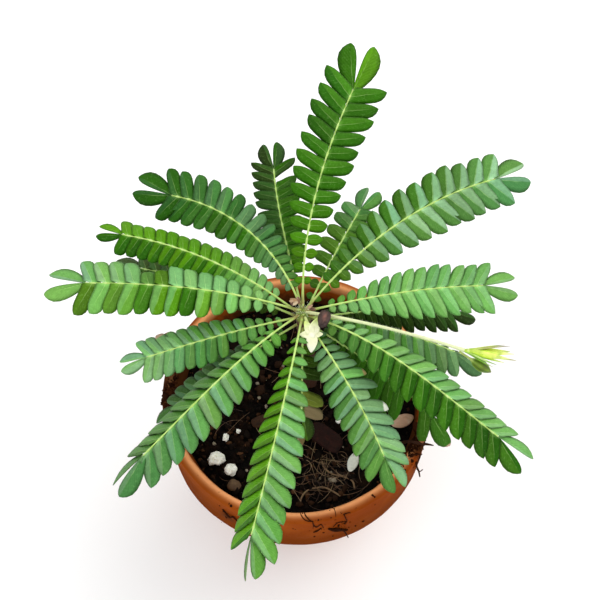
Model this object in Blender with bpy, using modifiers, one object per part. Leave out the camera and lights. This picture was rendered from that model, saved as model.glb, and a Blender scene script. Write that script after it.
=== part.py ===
"""Potted biophytum, at its real size.

A rosette of nineteen pinnate leaves on a short woody stem, with a flower stalk and two seed
capsules, grows in dark potting mix in a fired-clay pot. Lengths are in metres and +Z is up.
Everything is placed from the pot's axis, and one empty carries it, so that the origin lies on
the ground under the middle of the whole plant. +Y points to the back of the plant and +X to
its right.

Run it with: blender --background --python part.py
"""

import math
import random
from collections import namedtuple

import bmesh
import bpy
from mathutils import Matrix, Vector

MM = 0.001
GAP = 0.3 * MM

# The pot stands with its axis here, so that the origin is under the middle of the whole plant
POT_AXIS = (-0.5 * MM, -5.2 * MM)

# Pot
POT_HEIGHT = 98 * MM
RIM_RADIUS = 55.5 * MM
LIP_RADIUS = 51 * MM
LIP_ROUND = 2.0 * MM
COLLAR_HEIGHT = 33 * MM
COLLAR_FOOT_RADIUS = 55.2 * MM
COLLAR_EDGE_UP, COLLAR_EDGE_IN = 2.0 * MM, 1.6 * MM
SHOULDER_RADIUS = 49.5 * MM
SHOULDER_DROP = 1.0 * MM
BASE_RADIUS = 34 * MM
BASE_EDGE = 1.5 * MM
FLOOR_THICKNESS = 7 * MM
FLOOR_RADIUS = 28 * MM
NECK_RADIUS = 45.5 * MM
NECK_DEPTH = 30 * MM
DRAIN_RADIUS = 6 * MM
POT_SECTORS = 40
LIP_STEPS = 4

# Soil
SOIL_DEPTH = 13 * MM
SOIL_RINGS = 8
WAVE_HEIGHT = 0.9 * MM
RIPPLE_HEIGHT = 0.5 * MM
WAVE_X, WAVE_Y, RIPPLE = 7.5 * MM, 8.5 * MM, 5.2 * MM
WAVE_START = 0.6
MOUND_HEIGHT, MOUND_RADIUS = 2.0 * MM, 12 * MM

# Stem and the crown that it carries
STEM_FOOT = Vector((5 * MM, 8 * MM))
CROWN = Vector((2.1 * MM, 8 * MM, POT_HEIGHT + 50 * MM))
STEM_RADIUS = 3.0 * MM
STEM_TOP = 4.5 * MM
SOCKET_DEPTH = 12 * MM
SOCKET_RADIUS = 4.2 * MM
STEM_FOOT_SWELL = 1.25
# The stem's route: share of its height, how far it bends back and how thick it is there
STEM_ROUTE = (
    (0.08, 0.0, 1.1),
    (0.25, 0.8 * MM, 1.0),
    (0.45, 1.0 * MM, 0.95),
    (0.65, 0.4 * MM, 1.0),
    (0.82, -0.1 * MM, 1.0),
    (0.96, 0.0, 1.0),
    (1.0, 0.0, 0.75),
)

# Leaves. A leaflet's corners are shares of its length along it and of its half width ahead
BLADE_THICKNESS = 0.6 * MM
MIDRIB_HALF_WIDTH = 0.55 * MM
MIDRIB_TAPER = 0.4
LEAF_START = 0.5 * MM
BARE_STALK = 0.10
FIRST_LEAFLET = 0.38
LEAFLET_FILL = 0.40
LEAFLET_ANGLE_AT_CROWN, LEAFLET_ANGLE_AT_TIP = math.radians(72), math.radians(52)
REAR_CORNER = (0.60, -1.0)
FRONT_CORNER = (0.66, 1.0)
LEAFLET_TIP = (1.0, 0.3)
TIP_PAIR_ANGLE = math.radians(22)
TIP_PAIR_GROWTH = 1.3
TIP_PAIR_HALF_WIDTH = 0.22
ARC_STEPS = 40

# A leaf: compass direction, slope at the crown and at the tip, how far it turns sideways, all
# in degrees; then how high above the crown it starts, its midrib's length, the number of
# leaflet pairs, the length of its longest leaflets and how far they fold up, in degrees
Leaf = namedtuple("Leaf", "heading slope tip_slope turn lift length pairs leaflet fold")
LEAVES = {
    # the back one, then clockwise
    "leaf_01": Leaf(90, 36, 18, -27, 3 * MM, 84.5 * MM, 15, 12.0 * MM, -6),
    "leaf_02": Leaf(45, 28, -13, -22, 2 * MM, 92 * MM, 15, 12.0 * MM, -8),
    "leaf_03": Leaf(8, 18, -7, -4, 2 * MM, 66 * MM, 15, 9.8 * MM, -8),
    "leaf_04": Leaf(9, 0, -22, -2, -5 * MM, 56 * MM, 13, 9.0 * MM, -10),
    "leaf_05": Leaf(-6, 2, -18, -12, -2 * MM, 57 * MM, 13, 9.0 * MM, -10),
    "leaf_06": Leaf(-27, 10, -17, -11, 0, 83 * MM, 16, 11.5 * MM, -14),
    "leaf_07": Leaf(-58, 2, -35, -4, -2 * MM, 58 * MM, 14, 9.5 * MM, -6),
    "leaf_08": Leaf(-99, 12, -24, -7, 1 * MM, 84 * MM, 16, 10.5 * MM, -12),
    "leaf_09": Leaf(-137, 10, -23, 0, 1 * MM, 77 * MM, 14, 12.0 * MM, -18),
    "leaf_10": Leaf(-165, 6, -14, 1, -2 * MM, 58 * MM, 15, 9.2 * MM, -10),
    "leaf_11": Leaf(173, 22, -5, 7, 2.5 * MM, 78.5 * MM, 15, 11.5 * MM, -8),
    "leaf_12": Leaf(150, 23, 0, 18, -1 * MM, 73 * MM, 17, 8.7 * MM, -22),
    "leaf_13": Leaf(116, 31, -8, 50, 2 * MM, 69 * MM, 16, 10.5 * MM, -8),
    # the older, lower ones beneath them
    "leaf_14": Leaf(104, 24, 9, -9, 0, 56 * MM, 13, 9.2 * MM, -10),
    "leaf_15": Leaf(63, 22, -5, 0, -3 * MM, 49 * MM, 12, 9.2 * MM, -10),
    "leaf_16": Leaf(-31, -6, -35, 0, -6 * MM, 60 * MM, 13, 11.0 * MM, -10),
    "leaf_17": Leaf(-91, -14, -50, 0, -6 * MM, 34 * MM, 8, 8.5 * MM, -12),
    "leaf_18": Leaf(-147.5, -2, -30, 0, -6 * MM, 55 * MM, 13, 8.8 * MM, -12),
    "leaf_19": Leaf(158, 8, -12, 4, -4 * MM, 66 * MM, 14, 9.2 * MM, -10),
}

# Flower stalk, placed as a leaf without leaflets, with what it carries
STALK = Leaf(-17, 12, 0, -4, 2 * MM, 57 * MM, 0, 0, 0)
STALK_RADIUS = 0.6 * MM
STALK_STEPS = 9
CALYX_LENGTH = 18 * MM
CALYX_RADIUS = 2.5 * MM
CALYX_HEADING, CALYX_RISE = math.radians(-12), math.radians(8)
# The bud's length is that from the stalk to its tip, with its thin pedicel
BUD_LENGTH = 13.6 * MM
BUD_RADIUS = 2.1 * MM
BUD_NECK_RADIUS = 0.42 * MM
BUD_HEADING, BUD_RISE = math.radians(-28), math.radians(-18.4)
BUD_SET_BACK = 1.5 * MM
HEAD_SECTORS = 12
# Outlines of the calyx and the bud from tip to foot, as shares of their radius and length
CALYX_OUTLINE = (
    (0, 1.0), (0.3, 0.97), (0.75, 0.8), (1.0, 0.52), (0.75, 0.27), (0.3, 0.02), (0, 0),
)
BUD_OUTLINE = (
    (0, 1.0), (0.62, 0.88), (1.0, 0.7), (0.75, 0.5), (0.2, 0.36), (0.2, 0.01), (0, 0),
)

# Seed capsules and scales at the crown, measured from the crown
OPEN_CAPSULE_AT = Vector((3.4 * MM, -9.3 * MM, 0.8 * MM))
OPEN_CAPSULE_TILT = math.radians(30)
OPEN_CAPSULE_THICKNESS = 1.0 * MM
OPEN_CAPSULE_NOTCH = 1.9 * MM
VALVES = ((3, 3.9 * MM), (73, 6.4 * MM), (120, 5.6 * MM), (180, 4.7 * MM), (266, 6.6 * MM))
VALVE_FLANK_TURN, VALVE_FLANK_REACH = 8.6, 0.62
PEDICEL_RADIUS = 0.6 * MM
DRY_CAPSULE_AT = Vector((7.6 * MM, -5.4 * MM, 5.6 * MM))
DRY_CAPSULE_SIZE = Vector((2.3 * MM, 3.6 * MM, 1.7 * MM))
DRY_CAPSULE_TURN = math.radians(-14)
SCALE_THICKNESS = 0.5 * MM
SCALE_HALF_WIDTH = 0.3
SCALES = {
    "crown_scale_1": (Vector((-1.8 * MM, 1.4 * MM, 5.3 * MM)), 5.0 * MM, 150),
    "crown_scale_2": (Vector((2.2 * MM, -1.0 * MM, 5.3 * MM)), 3.6 * MM, -10),
}

# A pointed oval: shares of its length and of its half width
OVAL = ((0.18, 0.72), (0.4, 1.0), (0.62, 0.92), (0.84, 0.5))

# Grains and litter on the soil: where they lie, from the pot's axis, and their sizes
PERLITE = {
    "perlite_1": (-33, -26, 7.0, 5.4, 4.4),
    "perlite_2": (-27, -30.5, 5.2, 4.6, 3.8),
    "perlite_3": (-29.5, -16, 3.4, 2.4, 2.2),
    "perlite_4": (-24.5, -13, 2.0, 2.0, 1.8),
    "perlite_5": (17, -9, 2.2, 2.0, 1.8),
    "perlite_6": (39, -3, 4.2, 3.0, 2.6),
}
PEBBLE = (-25.5, -37, 6.5, 5.0, 3.4)
BARK = {
    "bark_1": (11.5, -16.5, 17, 9, 2.2, -38),
    "bark_2": (-15, -9, 9, 5, 2.0, 20),
    "bark_3": (-40, 12, 10, 5, 2.0, 80),
}
BARK_EDGE = 0.5 * MM
GRAIN_ROUGHNESS, GRAIN_FOOTPRINT = 0.16, 0.3
FALLEN_LEAFLETS = {
    "fallen_leaflet_1": (22.5, -27, 8.4, -110),
    "fallen_leaflet_2": (42, -9, 9.0, 20),
    "fallen_leaflet_3": (1, -17, 8.0, 75),
}
FALLEN_LEAFLET_HALF_WIDTH = 0.24
FALLEN_LEAFLET_THICKNESS = 0.6 * MM
ROOT_RADIUS = 0.35 * MM
ROOT_REACH = 1.5 * MM
ROOTS = {
    "root_strand_1": ((1, -44), (1.8, -41), (4, -38.5), (7.6, -37.5), (11, -37.5), (14, -39), (17, -41)),
    "root_strand_2": ((10, -26), (11, -29), (14, -31.5), (18, -32.5), (22, -34.5), (23, -38)),
}

# The dry twig that leans over the rim, as heights above the rim at places from the pot's axis
TWIG_RADIUS = 0.7 * MM
TWIG = (
    (39, -19, -11.0),
    (42, -21.3, -4.5),
    (44.6, -23.0, 1.1),
    (47.5, -23.6, 1.2),
    (50.5, -24.0, 1.1),
    (54, -24.4, 0.5),
)

COLOURS = {
    "terracotta": ((0.56, 0.17, 0.05), 0.75),
    "soil": ((0.03, 0.018, 0.012), 0.95),
    "stem": ((0.16, 0.07, 0.035), 0.8),
    "leaf": ((0.11, 0.33, 0.05), 0.5),
    "old_leaf": ((0.12, 0.19, 0.03), 0.6),
    "stalk": ((0.62, 0.66, 0.36), 0.55),
    "calyx": ((0.50, 0.66, 0.16), 0.5),
    "bud": ((0.20, 0.26, 0.05), 0.5),
    "pale_capsule": ((0.75, 0.78, 0.42), 0.6),
    "dry_capsule": ((0.07, 0.03, 0.02), 0.8),
    "scale": ((0.32, 0.17, 0.09), 0.8),
    "perlite": ((0.80, 0.78, 0.72), 0.9),
    "pebble": ((0.20, 0.12, 0.06), 0.85),
    "bark": ((0.09, 0.03, 0.02), 0.85),
    "dry_leaflet": ((0.42, 0.30, 0.20), 0.8),
    "root": ((0.30, 0.22, 0.13), 0.85),
}
OLD_LEAVES = ("leaf_16", "leaf_17", "leaf_18")


def clear_scene():
    for thing in list(bpy.data.objects):
        bpy.data.objects.remove(thing)


def material(slot):
    """The Principled material of one slot, made once."""
    found = bpy.data.materials.get(slot)
    if found:
        return found
    colour, roughness = COLOURS[slot]
    made = bpy.data.materials.new(slot)
    made.use_nodes = True
    shader = made.node_tree.nodes["Principled BSDF"]
    shader.inputs["Base Color"].default_value = (*colour, 1.0)
    shader.inputs["Roughness"].default_value = roughness
    shader.inputs["Metallic"].default_value = 0.0
    return made


def add(name, data, slot, carrier, location=(0, 0, 0), rotation=None):
    """A named object in the plant's collection, carried by the empty, with its material."""
    thing = bpy.data.objects.new(name, data)
    data.materials.append(material(slot))
    carrier.users_collection[0].objects.link(thing)
    thing.parent = carrier
    thing.location = location
    if rotation is not None:
        thing.rotation_euler = rotation.to_euler()
    return thing


def mesh_from(name, shape):
    """A mesh datablock from a bmesh, which is freed."""
    data = bpy.data.meshes.new(name)
    shape.to_mesh(data)
    shape.free()
    return data


def smooth(data, angle=math.radians(40)):
    data.shade_smooth()
    data.set_sharp_from_angle(angle=angle)


def arc(centre, radius, start, end, steps):
    """Points of a circular arc in the profile plane, angles in degrees."""
    angles = [math.radians(start + (end - start) * k / steps) for k in range(steps + 1)]
    return [(centre[0] + radius * math.cos(a), centre[1] + radius * math.sin(a)) for a in angles]


def turned(name, profile, closed):
    """A profile of (radius, height) points turned about +Z, listed down its outer side."""
    shape = bmesh.new()
    points = [shape.verts.new((radius, 0, height)) for radius, height in profile]
    pairs = list(zip(points, points[1:]))
    if closed:
        pairs.append((points[-1], points[0]))
    for pair in pairs:
        shape.edges.new(pair)
    return mesh_from(name, shape)


def add_screw(thing, sectors):
    screw = thing.modifiers.new("Turn", "SCREW")
    screw.steps = sectors
    screw.render_steps = sectors
    screw.use_merge_vertices = True
    screw.merge_threshold = 0.00001
    screw.use_smooth_shade = True
    return screw


def tube(name, points, radius, slot, carrier, sides=2, swell=None):
    """A round rod through the points, with its radius scaled at each point by swell."""
    curve = bpy.data.curves.new(name, "CURVE")
    curve.dimensions = "3D"
    curve.bevel_depth = radius
    curve.bevel_resolution = sides
    curve.use_fill_caps = True
    spline = curve.splines.new("POLY")
    spline.points.add(len(points) - 1)
    for k, point in enumerate(points):
        spline.points[k].co = (*point, 1.0)
        spline.points[k].radius = swell[k] if swell else 1.0
    return add(name, curve, slot, carrier)


def flat_plate(name, outline, thickness, slot, carrier, location, rotation):
    """A closed outline filled and given a thickness."""
    curve = bpy.data.curves.new(name, "CURVE")
    curve.dimensions = "2D"
    curve.fill_mode = "BOTH"
    curve.extrude = thickness / 2
    spline = curve.splines.new("POLY")
    spline.points.add(len(outline) - 1)
    for k, (x, y) in enumerate(outline):
        spline.points[k].co = (x, y, 0, 1.0)
    spline.use_cyclic_u = True
    return add(name, curve, slot, carrier, location, rotation)


def loft(name, rings, start, end):
    """A closed skin through rings of equally many points, closed by a fan at each end."""
    shape = bmesh.new()
    rows = [[shape.verts.new(point) for point in ring] for ring in rings]
    count = len(rows[0])
    for low, high in zip(rows, rows[1:]):
        for k in range(count):
            following = (k + 1) % count
            shape.faces.new((low[k], low[following], high[following], high[k]))
    for row, tip in ((rows[0], start), (rows[-1], end)):
        centre = shape.verts.new(tip)
        for k in range(count):
            shape.faces.new((row[k], row[(k + 1) % count], centre))
    bmesh.ops.recalc_face_normals(shape, faces=shape.faces)
    return mesh_from(name, shape)


def wall_radius(height):
    """The pot's inner radius at a height, along its straight stretches."""
    neck = POT_HEIGHT - NECK_DEPTH
    lip = POT_HEIGHT - LIP_ROUND
    if height > neck:
        share = (height - neck) / (lip - neck)
        return NECK_RADIUS + share * (LIP_RADIUS - NECK_RADIUS)
    share = (height - FLOOR_THICKNESS) / (neck - FLOOR_THICKNESS)
    return FLOOR_RADIUS + share * (NECK_RADIUS - FLOOR_RADIUS)


def soil_height(x, y):
    """The soil's surface: long waves, short ripples, and a mound round the stem."""
    wave = WAVE_HEIGHT * math.sin(x / WAVE_X + WAVE_START) * math.cos(y / WAVE_Y)
    ripple = RIPPLE_HEIGHT * math.sin((x + y) / RIPPLE)
    away = (Vector((x, y)) - STEM_FOOT).length
    mound = MOUND_HEIGHT * math.exp(-((away / MOUND_RADIUS) ** 2))
    return POT_HEIGHT - SOIL_DEPTH + wave + ripple + mound


def seat(x, y, reach):
    """The highest soil within reach of a place, plus the gap that a resting piece keeps."""
    around = [soil_height(x, y)]
    for k in range(12):
        angle = math.tau * k / 12
        around.append(soil_height(x + reach * math.cos(angle), y + reach * math.sin(angle)))
    return max(around) + GAP


def make_pot(carrier):
    """A tapered pot with a thick rounded collar and a drain hole, turned from one profile."""
    top = POT_HEIGHT - LIP_ROUND
    outer_round = RIM_RADIUS - LIP_ROUND
    inner_round = LIP_RADIUS + LIP_ROUND
    collar_foot = POT_HEIGHT - COLLAR_HEIGHT
    profile = arc((inner_round, top), LIP_ROUND, 180, 90, LIP_STEPS)
    profile += arc((outer_round, top), LIP_ROUND, 90, 0, LIP_STEPS)
    profile += [
        (RIM_RADIUS, POT_HEIGHT - COLLAR_HEIGHT / 2),
        (COLLAR_FOOT_RADIUS, collar_foot + COLLAR_EDGE_UP),
        (COLLAR_FOOT_RADIUS - COLLAR_EDGE_IN, collar_foot),
        (SHOULDER_RADIUS, collar_foot - SHOULDER_DROP),
        (BASE_RADIUS, BASE_EDGE),
        (BASE_RADIUS - BASE_EDGE, 0),
        (DRAIN_RADIUS, 0),
        (DRAIN_RADIUS, FLOOR_THICKNESS),
        (FLOOR_RADIUS, FLOOR_THICKNESS),
        (NECK_RADIUS, POT_HEIGHT - NECK_DEPTH),
    ]
    pot = add("pot", turned("pot", profile, closed=True), "terracotta", carrier)
    add_screw(pot, POT_SECTORS)
    return pot


def make_soil(carrier):
    """The filling, lofted from the stem's socket over the surface and down inside the wall."""
    angles = [math.tau * k / POT_SECTORS for k in range(POT_SECTORS)]
    socket_floor = soil_height(*STEM_FOOT) - SOCKET_DEPTH
    edge_radius = wall_radius(POT_HEIGHT - SOIL_DEPTH) - GAP
    underside = FLOOR_THICKNESS + GAP
    neck = POT_HEIGHT - NECK_DEPTH

    def circle(radius, height, centre=(0, 0)):
        return [
            (centre[0] + radius * math.cos(a), centre[1] + radius * math.sin(a), height)
            for a in angles
        ]

    rings = [circle(SOCKET_RADIUS, socket_floor, STEM_FOOT)]
    for step in range(SOIL_RINGS + 1):
        share = step / SOIL_RINGS
        radius = SOCKET_RADIUS + share * (edge_radius - SOCKET_RADIUS)
        centre = STEM_FOOT * (1 - share)
        ring = circle(radius, 0, centre)
        rings.append([(x, y, soil_height(x, y)) for x, y, _ in ring])
    rings.append(circle(wall_radius(neck) - GAP, neck))
    rings.append(circle(wall_radius(underside) - GAP, underside))
    data = loft("soil", rings, (*STEM_FOOT, socket_floor), (0, 0, underside))
    smooth(data)
    return add("soil", data, "soil", carrier)


def make_stem(carrier):
    """The woody stem, from its socket up to the crown, slightly waved and swollen at both ends."""
    surface = soil_height(*STEM_FOOT)
    foot = Vector((*STEM_FOOT, surface))
    top = CROWN + Vector((0, 0, STEM_TOP))
    points = [foot - Vector((0, 0, SOCKET_DEPTH - GAP)), foot]
    swell = [1.0, STEM_FOOT_SWELL]
    for share, bend, thickness in STEM_ROUTE:
        points.append(foot.lerp(top, share) + Vector((0, bend, 0)))
        swell.append(thickness)
    return tube("stem", points, STEM_RADIUS, "stem", carrier, 3, swell)


def midrib_at(leaf, share):
    """Place, forward, left and up directions on a leaf's midrib, whose slope and heading
    change evenly from the crown to the tip."""
    heading = math.radians(leaf.heading)
    outward = Vector((math.cos(heading), math.sin(heading), 0))
    point = CROWN + Vector((0, 0, leaf.lift)) + outward * (STEM_RADIUS + LEAF_START)

    def direction(at):
        slope = math.radians(leaf.slope + (leaf.tip_slope - leaf.slope) * at)
        compass = heading + math.radians(leaf.turn) * at
        flat = math.cos(slope)
        return Vector((flat * math.cos(compass), flat * math.sin(compass), math.sin(slope)))

    for k in range(ARC_STEPS):
        point += direction(share * (k + 0.5) / ARC_STEPS) * leaf.length * share / ARC_STEPS
    forward = direction(share)
    left = Vector((0, 0, 1)).cross(forward).normalized()
    return point, forward, left, forward.cross(left)


def leaflet_growth(share):
    """Leaflets start small by the crown and reach their full length at the leaf's middle."""
    ramp = min(share / 0.5, 1.0)
    return FIRST_LEAFLET + (1 - FIRST_LEAFLET) * ramp * ramp * (3 - 2 * ramp)


def make_leaf(name, leaf, carrier):
    """One compound leaf as a thin solid: a midrib strip with a blade for each leaflet."""
    shape = bmesh.new()
    stations = [0.0] + [
        BARE_STALK + (1 - BARE_STALK) * k / leaf.pairs for k in range(leaf.pairs + 1)
    ]
    edges = {1: [], -1: []}
    for share in stations:
        point, _, left, _ = midrib_at(leaf, share)
        half_width = MIDRIB_HALF_WIDTH * (1 - MIDRIB_TAPER * share)
        for hand, row in edges.items():
            row.append(shape.verts.new(point + left * half_width * hand))

    def face(corners, hand):
        shape.faces.new(corners if hand > 0 else corners[::-1])

    for k in range(len(stations) - 1):
        face([edges[1][k], edges[-1][k], edges[-1][k + 1], edges[1][k + 1]], 1)
    pitch = leaf.length * (1 - BARE_STALK) / leaf.pairs
    fold = math.radians(leaf.fold)
    for k in range(1, len(stations) - 1):
        last = k == len(stations) - 2
        share = (stations[k] + stations[k + 1]) / 2
        point, forward, left, up = midrib_at(leaf, share)
        length = leaf.leaflet * leaflet_growth(share)
        half_width = LEAFLET_FILL * pitch
        angle = LEAFLET_ANGLE_AT_CROWN + share * (LEAFLET_ANGLE_AT_TIP - LEAFLET_ANGLE_AT_CROWN)
        if last:
            length = leaf.leaflet * TIP_PAIR_GROWTH
            half_width = TIP_PAIR_HALF_WIDTH * length
            angle = TIP_PAIR_ANGLE
        for hand, row in edges.items():
            across = left * hand * math.cos(fold) + up * math.sin(fold)
            along = forward * math.cos(angle) + across * math.sin(angle)
            ahead = forward * math.sin(angle) - across * math.cos(angle)
            rear, front, tip = (
                shape.verts.new(point + along * length * out + ahead * half_width * forth)
                for out, forth in (REAR_CORNER, FRONT_CORNER, LEAFLET_TIP)
            )
            face([row[k], row[k + 1], front, rear], hand)
            face([rear, front, tip], hand)
    slot = "old_leaf" if name in OLD_LEAVES else "leaf"
    thing = add(name, mesh_from(name, shape), slot, carrier)
    solidify = thing.modifiers.new("Blade", "SOLIDIFY")
    solidify.thickness = BLADE_THICKNESS
    solidify.offset = 0
    return thing


def make_flower_stalk(carrier):
    """The long stalk, its cluster of sepals and the bud that hangs beside them."""
    points = [midrib_at(STALK, k / STALK_STEPS)[0] for k in range(STALK_STEPS + 1)]
    tube("flower_stalk", points, STALK_RADIUS, "stalk", carrier)
    end, forward, _, _ = midrib_at(STALK, 1.0)
    open_way, bud_way = (
        Vector((
            math.cos(rise) * math.cos(heading), math.cos(rise) * math.sin(heading), math.sin(rise),
        ))
        for heading, rise in ((CALYX_HEADING, CALYX_RISE), (BUD_HEADING, BUD_RISE))
    )
    beside = (bud_way - forward * bud_way.dot(forward)).normalized()
    bud_foot = end - forward * BUD_SET_BACK + beside * (STALK_RADIUS + GAP + BUD_NECK_RADIUS)
    calyx_foot = end + forward * 2 * GAP
    for name, slot, outline, radius, length, foot, aim in (
        ("calyx", "calyx", CALYX_OUTLINE, CALYX_RADIUS, CALYX_LENGTH, calyx_foot, open_way),
        ("hanging_bud", "bud", BUD_OUTLINE, BUD_RADIUS, BUD_LENGTH, bud_foot, bud_way),
    ):
        profile = [(radius * wide, length * high) for wide, high in outline]
        data = turned(name, profile, closed=False)
        piece = add(name, data, slot, carrier, foot, aim.to_track_quat("Z", "Y"))
        add_screw(piece, HEAD_SECTORS)


def make_capsules(carrier):
    """The open, star-shaped seed capsule on its pedicel, and the dry one beside the crown."""
    outline = []
    for k, (angle, length) in enumerate(VALVES):
        following = VALVES[(k + 1) % len(VALVES)][0]
        step = (following - angle) % 360
        for side in (-1, 0, 1):
            at = math.radians(angle + side * VALVE_FLANK_TURN)
            reach = length * (VALVE_FLANK_REACH if side else 1.0)
            outline.append((reach * math.cos(at), reach * math.sin(at)))
        at = math.radians(angle + step / 2)
        outline.append((OPEN_CAPSULE_NOTCH * math.cos(at), OPEN_CAPSULE_NOTCH * math.sin(at)))
    centre = CROWN + OPEN_CAPSULE_AT
    tilt = Matrix.Rotation(OPEN_CAPSULE_TILT, 3, "X")
    flat_plate("open_capsule", outline, OPEN_CAPSULE_THICKNESS, "pale_capsule", carrier, centre, tilt)
    back = centre - tilt @ Vector((0, 0, OPEN_CAPSULE_THICKNESS / 2 + GAP + PEDICEL_RADIUS))
    toward = OPEN_CAPSULE_AT.to_2d().normalized()
    start = CROWN + Vector((*(toward * (STEM_RADIUS + GAP)), OPEN_CAPSULE_AT.z))
    tube("capsule_pedicel", [start, start.lerp(back, 0.5), back], PEDICEL_RADIUS, "stalk", carrier)

    shape = bmesh.new()
    bmesh.ops.create_uvsphere(shape, u_segments=12, v_segments=8, radius=1.0)
    bmesh.ops.scale(shape, vec=DRY_CAPSULE_SIZE, verts=shape.verts)
    data = mesh_from("dry_capsule", shape)
    smooth(data)
    turn = Matrix.Rotation(DRY_CAPSULE_TURN, 3, "Z")
    add("dry_capsule", data, "dry_capsule", carrier, CROWN + DRY_CAPSULE_AT, turn)


def leaflet_outline(length, half_width):
    """A pointed oval from the origin along +X."""
    upper = [(length * along, half_width * wide) for along, wide in OVAL]
    lower = [(x, -y) for x, y in upper]
    return [(0, 0)] + lower + [(length, 0)] + upper[::-1]


def make_crown_scales(carrier):
    """The papery scales that lie on the stem's top."""
    for name, (place, length, heading) in SCALES.items():
        outline = leaflet_outline(length, SCALE_HALF_WIDTH * length)
        turn = Matrix.Rotation(math.radians(heading), 3, "Z")
        flat_plate(name, outline, SCALE_THICKNESS, "scale", carrier, CROWN + place, turn)


def lump(name, place, slot, seed, carrier):
    """A rough grain: a round mesh pushed in and out, resting on the soil."""
    x, y, length, width, height = (value * MM for value in place)
    chance = random.Random(seed)
    shape = bmesh.new()
    bmesh.ops.create_icosphere(shape, subdivisions=2, radius=0.5)
    for vertex in shape.verts:
        vertex.co *= 1 - GRAIN_ROUGHNESS * chance.random()
    bmesh.ops.scale(shape, vec=(length, width, height), verts=shape.verts)
    lowest = min(vertex.co.z for vertex in shape.verts)
    data = mesh_from(name, shape)
    height_above = seat(x, y, GRAIN_FOOTPRINT * length) - lowest
    turn = Matrix.Rotation(chance.uniform(0, math.pi), 3, "Z")
    return add(name, data, slot, carrier, (x, y, height_above), turn)


def make_litter(carrier):
    """Perlite, the pebble, bark and fallen leaflets, each resting on the soil."""
    for seed, (name, place) in enumerate(PERLITE.items()):
        lump(name, place, "perlite", seed, carrier)
    lump("pebble", PEBBLE, "pebble", 20, carrier)
    for name, place in BARK.items():
        x, y, length, width, height = (value * MM for value in place[:5])
        shape = bmesh.new()
        bmesh.ops.create_cube(shape, size=1.0)
        bmesh.ops.scale(shape, vec=(length, width, height), verts=shape.verts)
        turn = Matrix.Rotation(math.radians(place[5]), 3, "Z")
        rest = seat(x, y, 0.5 * length) + height / 2
        piece = add(name, mesh_from(name, shape), "bark", carrier, (x, y, rest), turn)
        bevel = piece.modifiers.new("Worn edges", "BEVEL")
        bevel.width = BARK_EDGE
        bevel.segments = 1
    for name, (x, y, length, heading) in FALLEN_LEAFLETS.items():
        x, y, length = x * MM, y * MM, length * MM
        outline = leaflet_outline(length, FALLEN_LEAFLET_HALF_WIDTH * length)
        centred = [(px - length / 2, py) for px, py in outline]
        rest = seat(x, y, 0.5 * length) + FALLEN_LEAFLET_THICKNESS / 2
        turn = Matrix.Rotation(math.radians(heading), 3, "Z")
        flat_plate(name, centred, FALLEN_LEAFLET_THICKNESS, "dry_leaflet", carrier, (x, y, rest), turn)


def make_roots_and_twig(carrier):
    """Root strands that follow the soil, and the twig that leans out over the rim."""
    for name, route in ROOTS.items():
        points = []
        for x, y in route:
            x, y = x * MM, y * MM
            points.append((x, y, seat(x, y, ROOT_REACH) + ROOT_RADIUS))
        tube(name, points, ROOT_RADIUS, "root", carrier, 1)
    route = [(x * MM, y * MM, POT_HEIGHT + z * MM) for x, y, z in TWIG]
    tube("twig", route, TWIG_RADIUS, "bark", carrier, 1)


def main():
    clear_scene()
    plant = bpy.data.collections.new("potted_biophytum")
    bpy.context.scene.collection.children.link(plant)
    carrier = bpy.data.objects.new("pot_axis", None)
    carrier.location = (*POT_AXIS, 0)
    plant.objects.link(carrier)
    make_pot(carrier)
    make_soil(carrier)
    make_stem(carrier)
    for name, leaf in LEAVES.items():
        make_leaf(name, leaf, carrier)
    make_flower_stalk(carrier)
    make_capsules(carrier)
    make_crown_scales(carrier)
    make_litter(carrier)
    make_roots_and_twig(carrier)
    bpy.context.view_layer.update()


main()
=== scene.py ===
import math

import bpy
import numpy as np
from bpy.props import FloatProperty, FloatVectorProperty, IntProperty, PointerProperty
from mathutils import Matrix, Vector


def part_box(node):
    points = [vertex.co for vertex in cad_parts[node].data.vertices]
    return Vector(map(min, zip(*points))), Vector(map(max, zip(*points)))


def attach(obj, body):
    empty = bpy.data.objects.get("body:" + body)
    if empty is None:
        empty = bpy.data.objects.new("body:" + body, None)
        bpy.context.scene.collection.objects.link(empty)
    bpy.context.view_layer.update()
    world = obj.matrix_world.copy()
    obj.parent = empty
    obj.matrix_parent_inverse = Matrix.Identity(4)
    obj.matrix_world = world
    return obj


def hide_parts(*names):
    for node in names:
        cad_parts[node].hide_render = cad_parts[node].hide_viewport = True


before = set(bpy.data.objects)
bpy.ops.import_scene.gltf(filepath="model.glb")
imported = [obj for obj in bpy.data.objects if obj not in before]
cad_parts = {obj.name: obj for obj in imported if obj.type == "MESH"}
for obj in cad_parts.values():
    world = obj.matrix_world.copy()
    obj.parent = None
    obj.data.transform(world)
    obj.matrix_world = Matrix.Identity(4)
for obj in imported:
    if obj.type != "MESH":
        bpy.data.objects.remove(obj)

bl_info = {
    "name": "Potted Biophytum",
    "version": (1, 0, 0),
    "blender": (4, 5, 0),
    "location": "3D View > Sidebar > Biophytum",
    "description": "Grows a sensitive rosette plant in its clay pot around the packed frame",
    "category": "Object",
}

# Millimetres are used throughout, from the pot's axis at the ground, and turned into the
# frame's metres when a mesh is written
MM = 0.001
POT_AXIS = np.array([-0.5, -5.2, 0.0])
UP = np.array([0.0, 0.0, 1.0])

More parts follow.
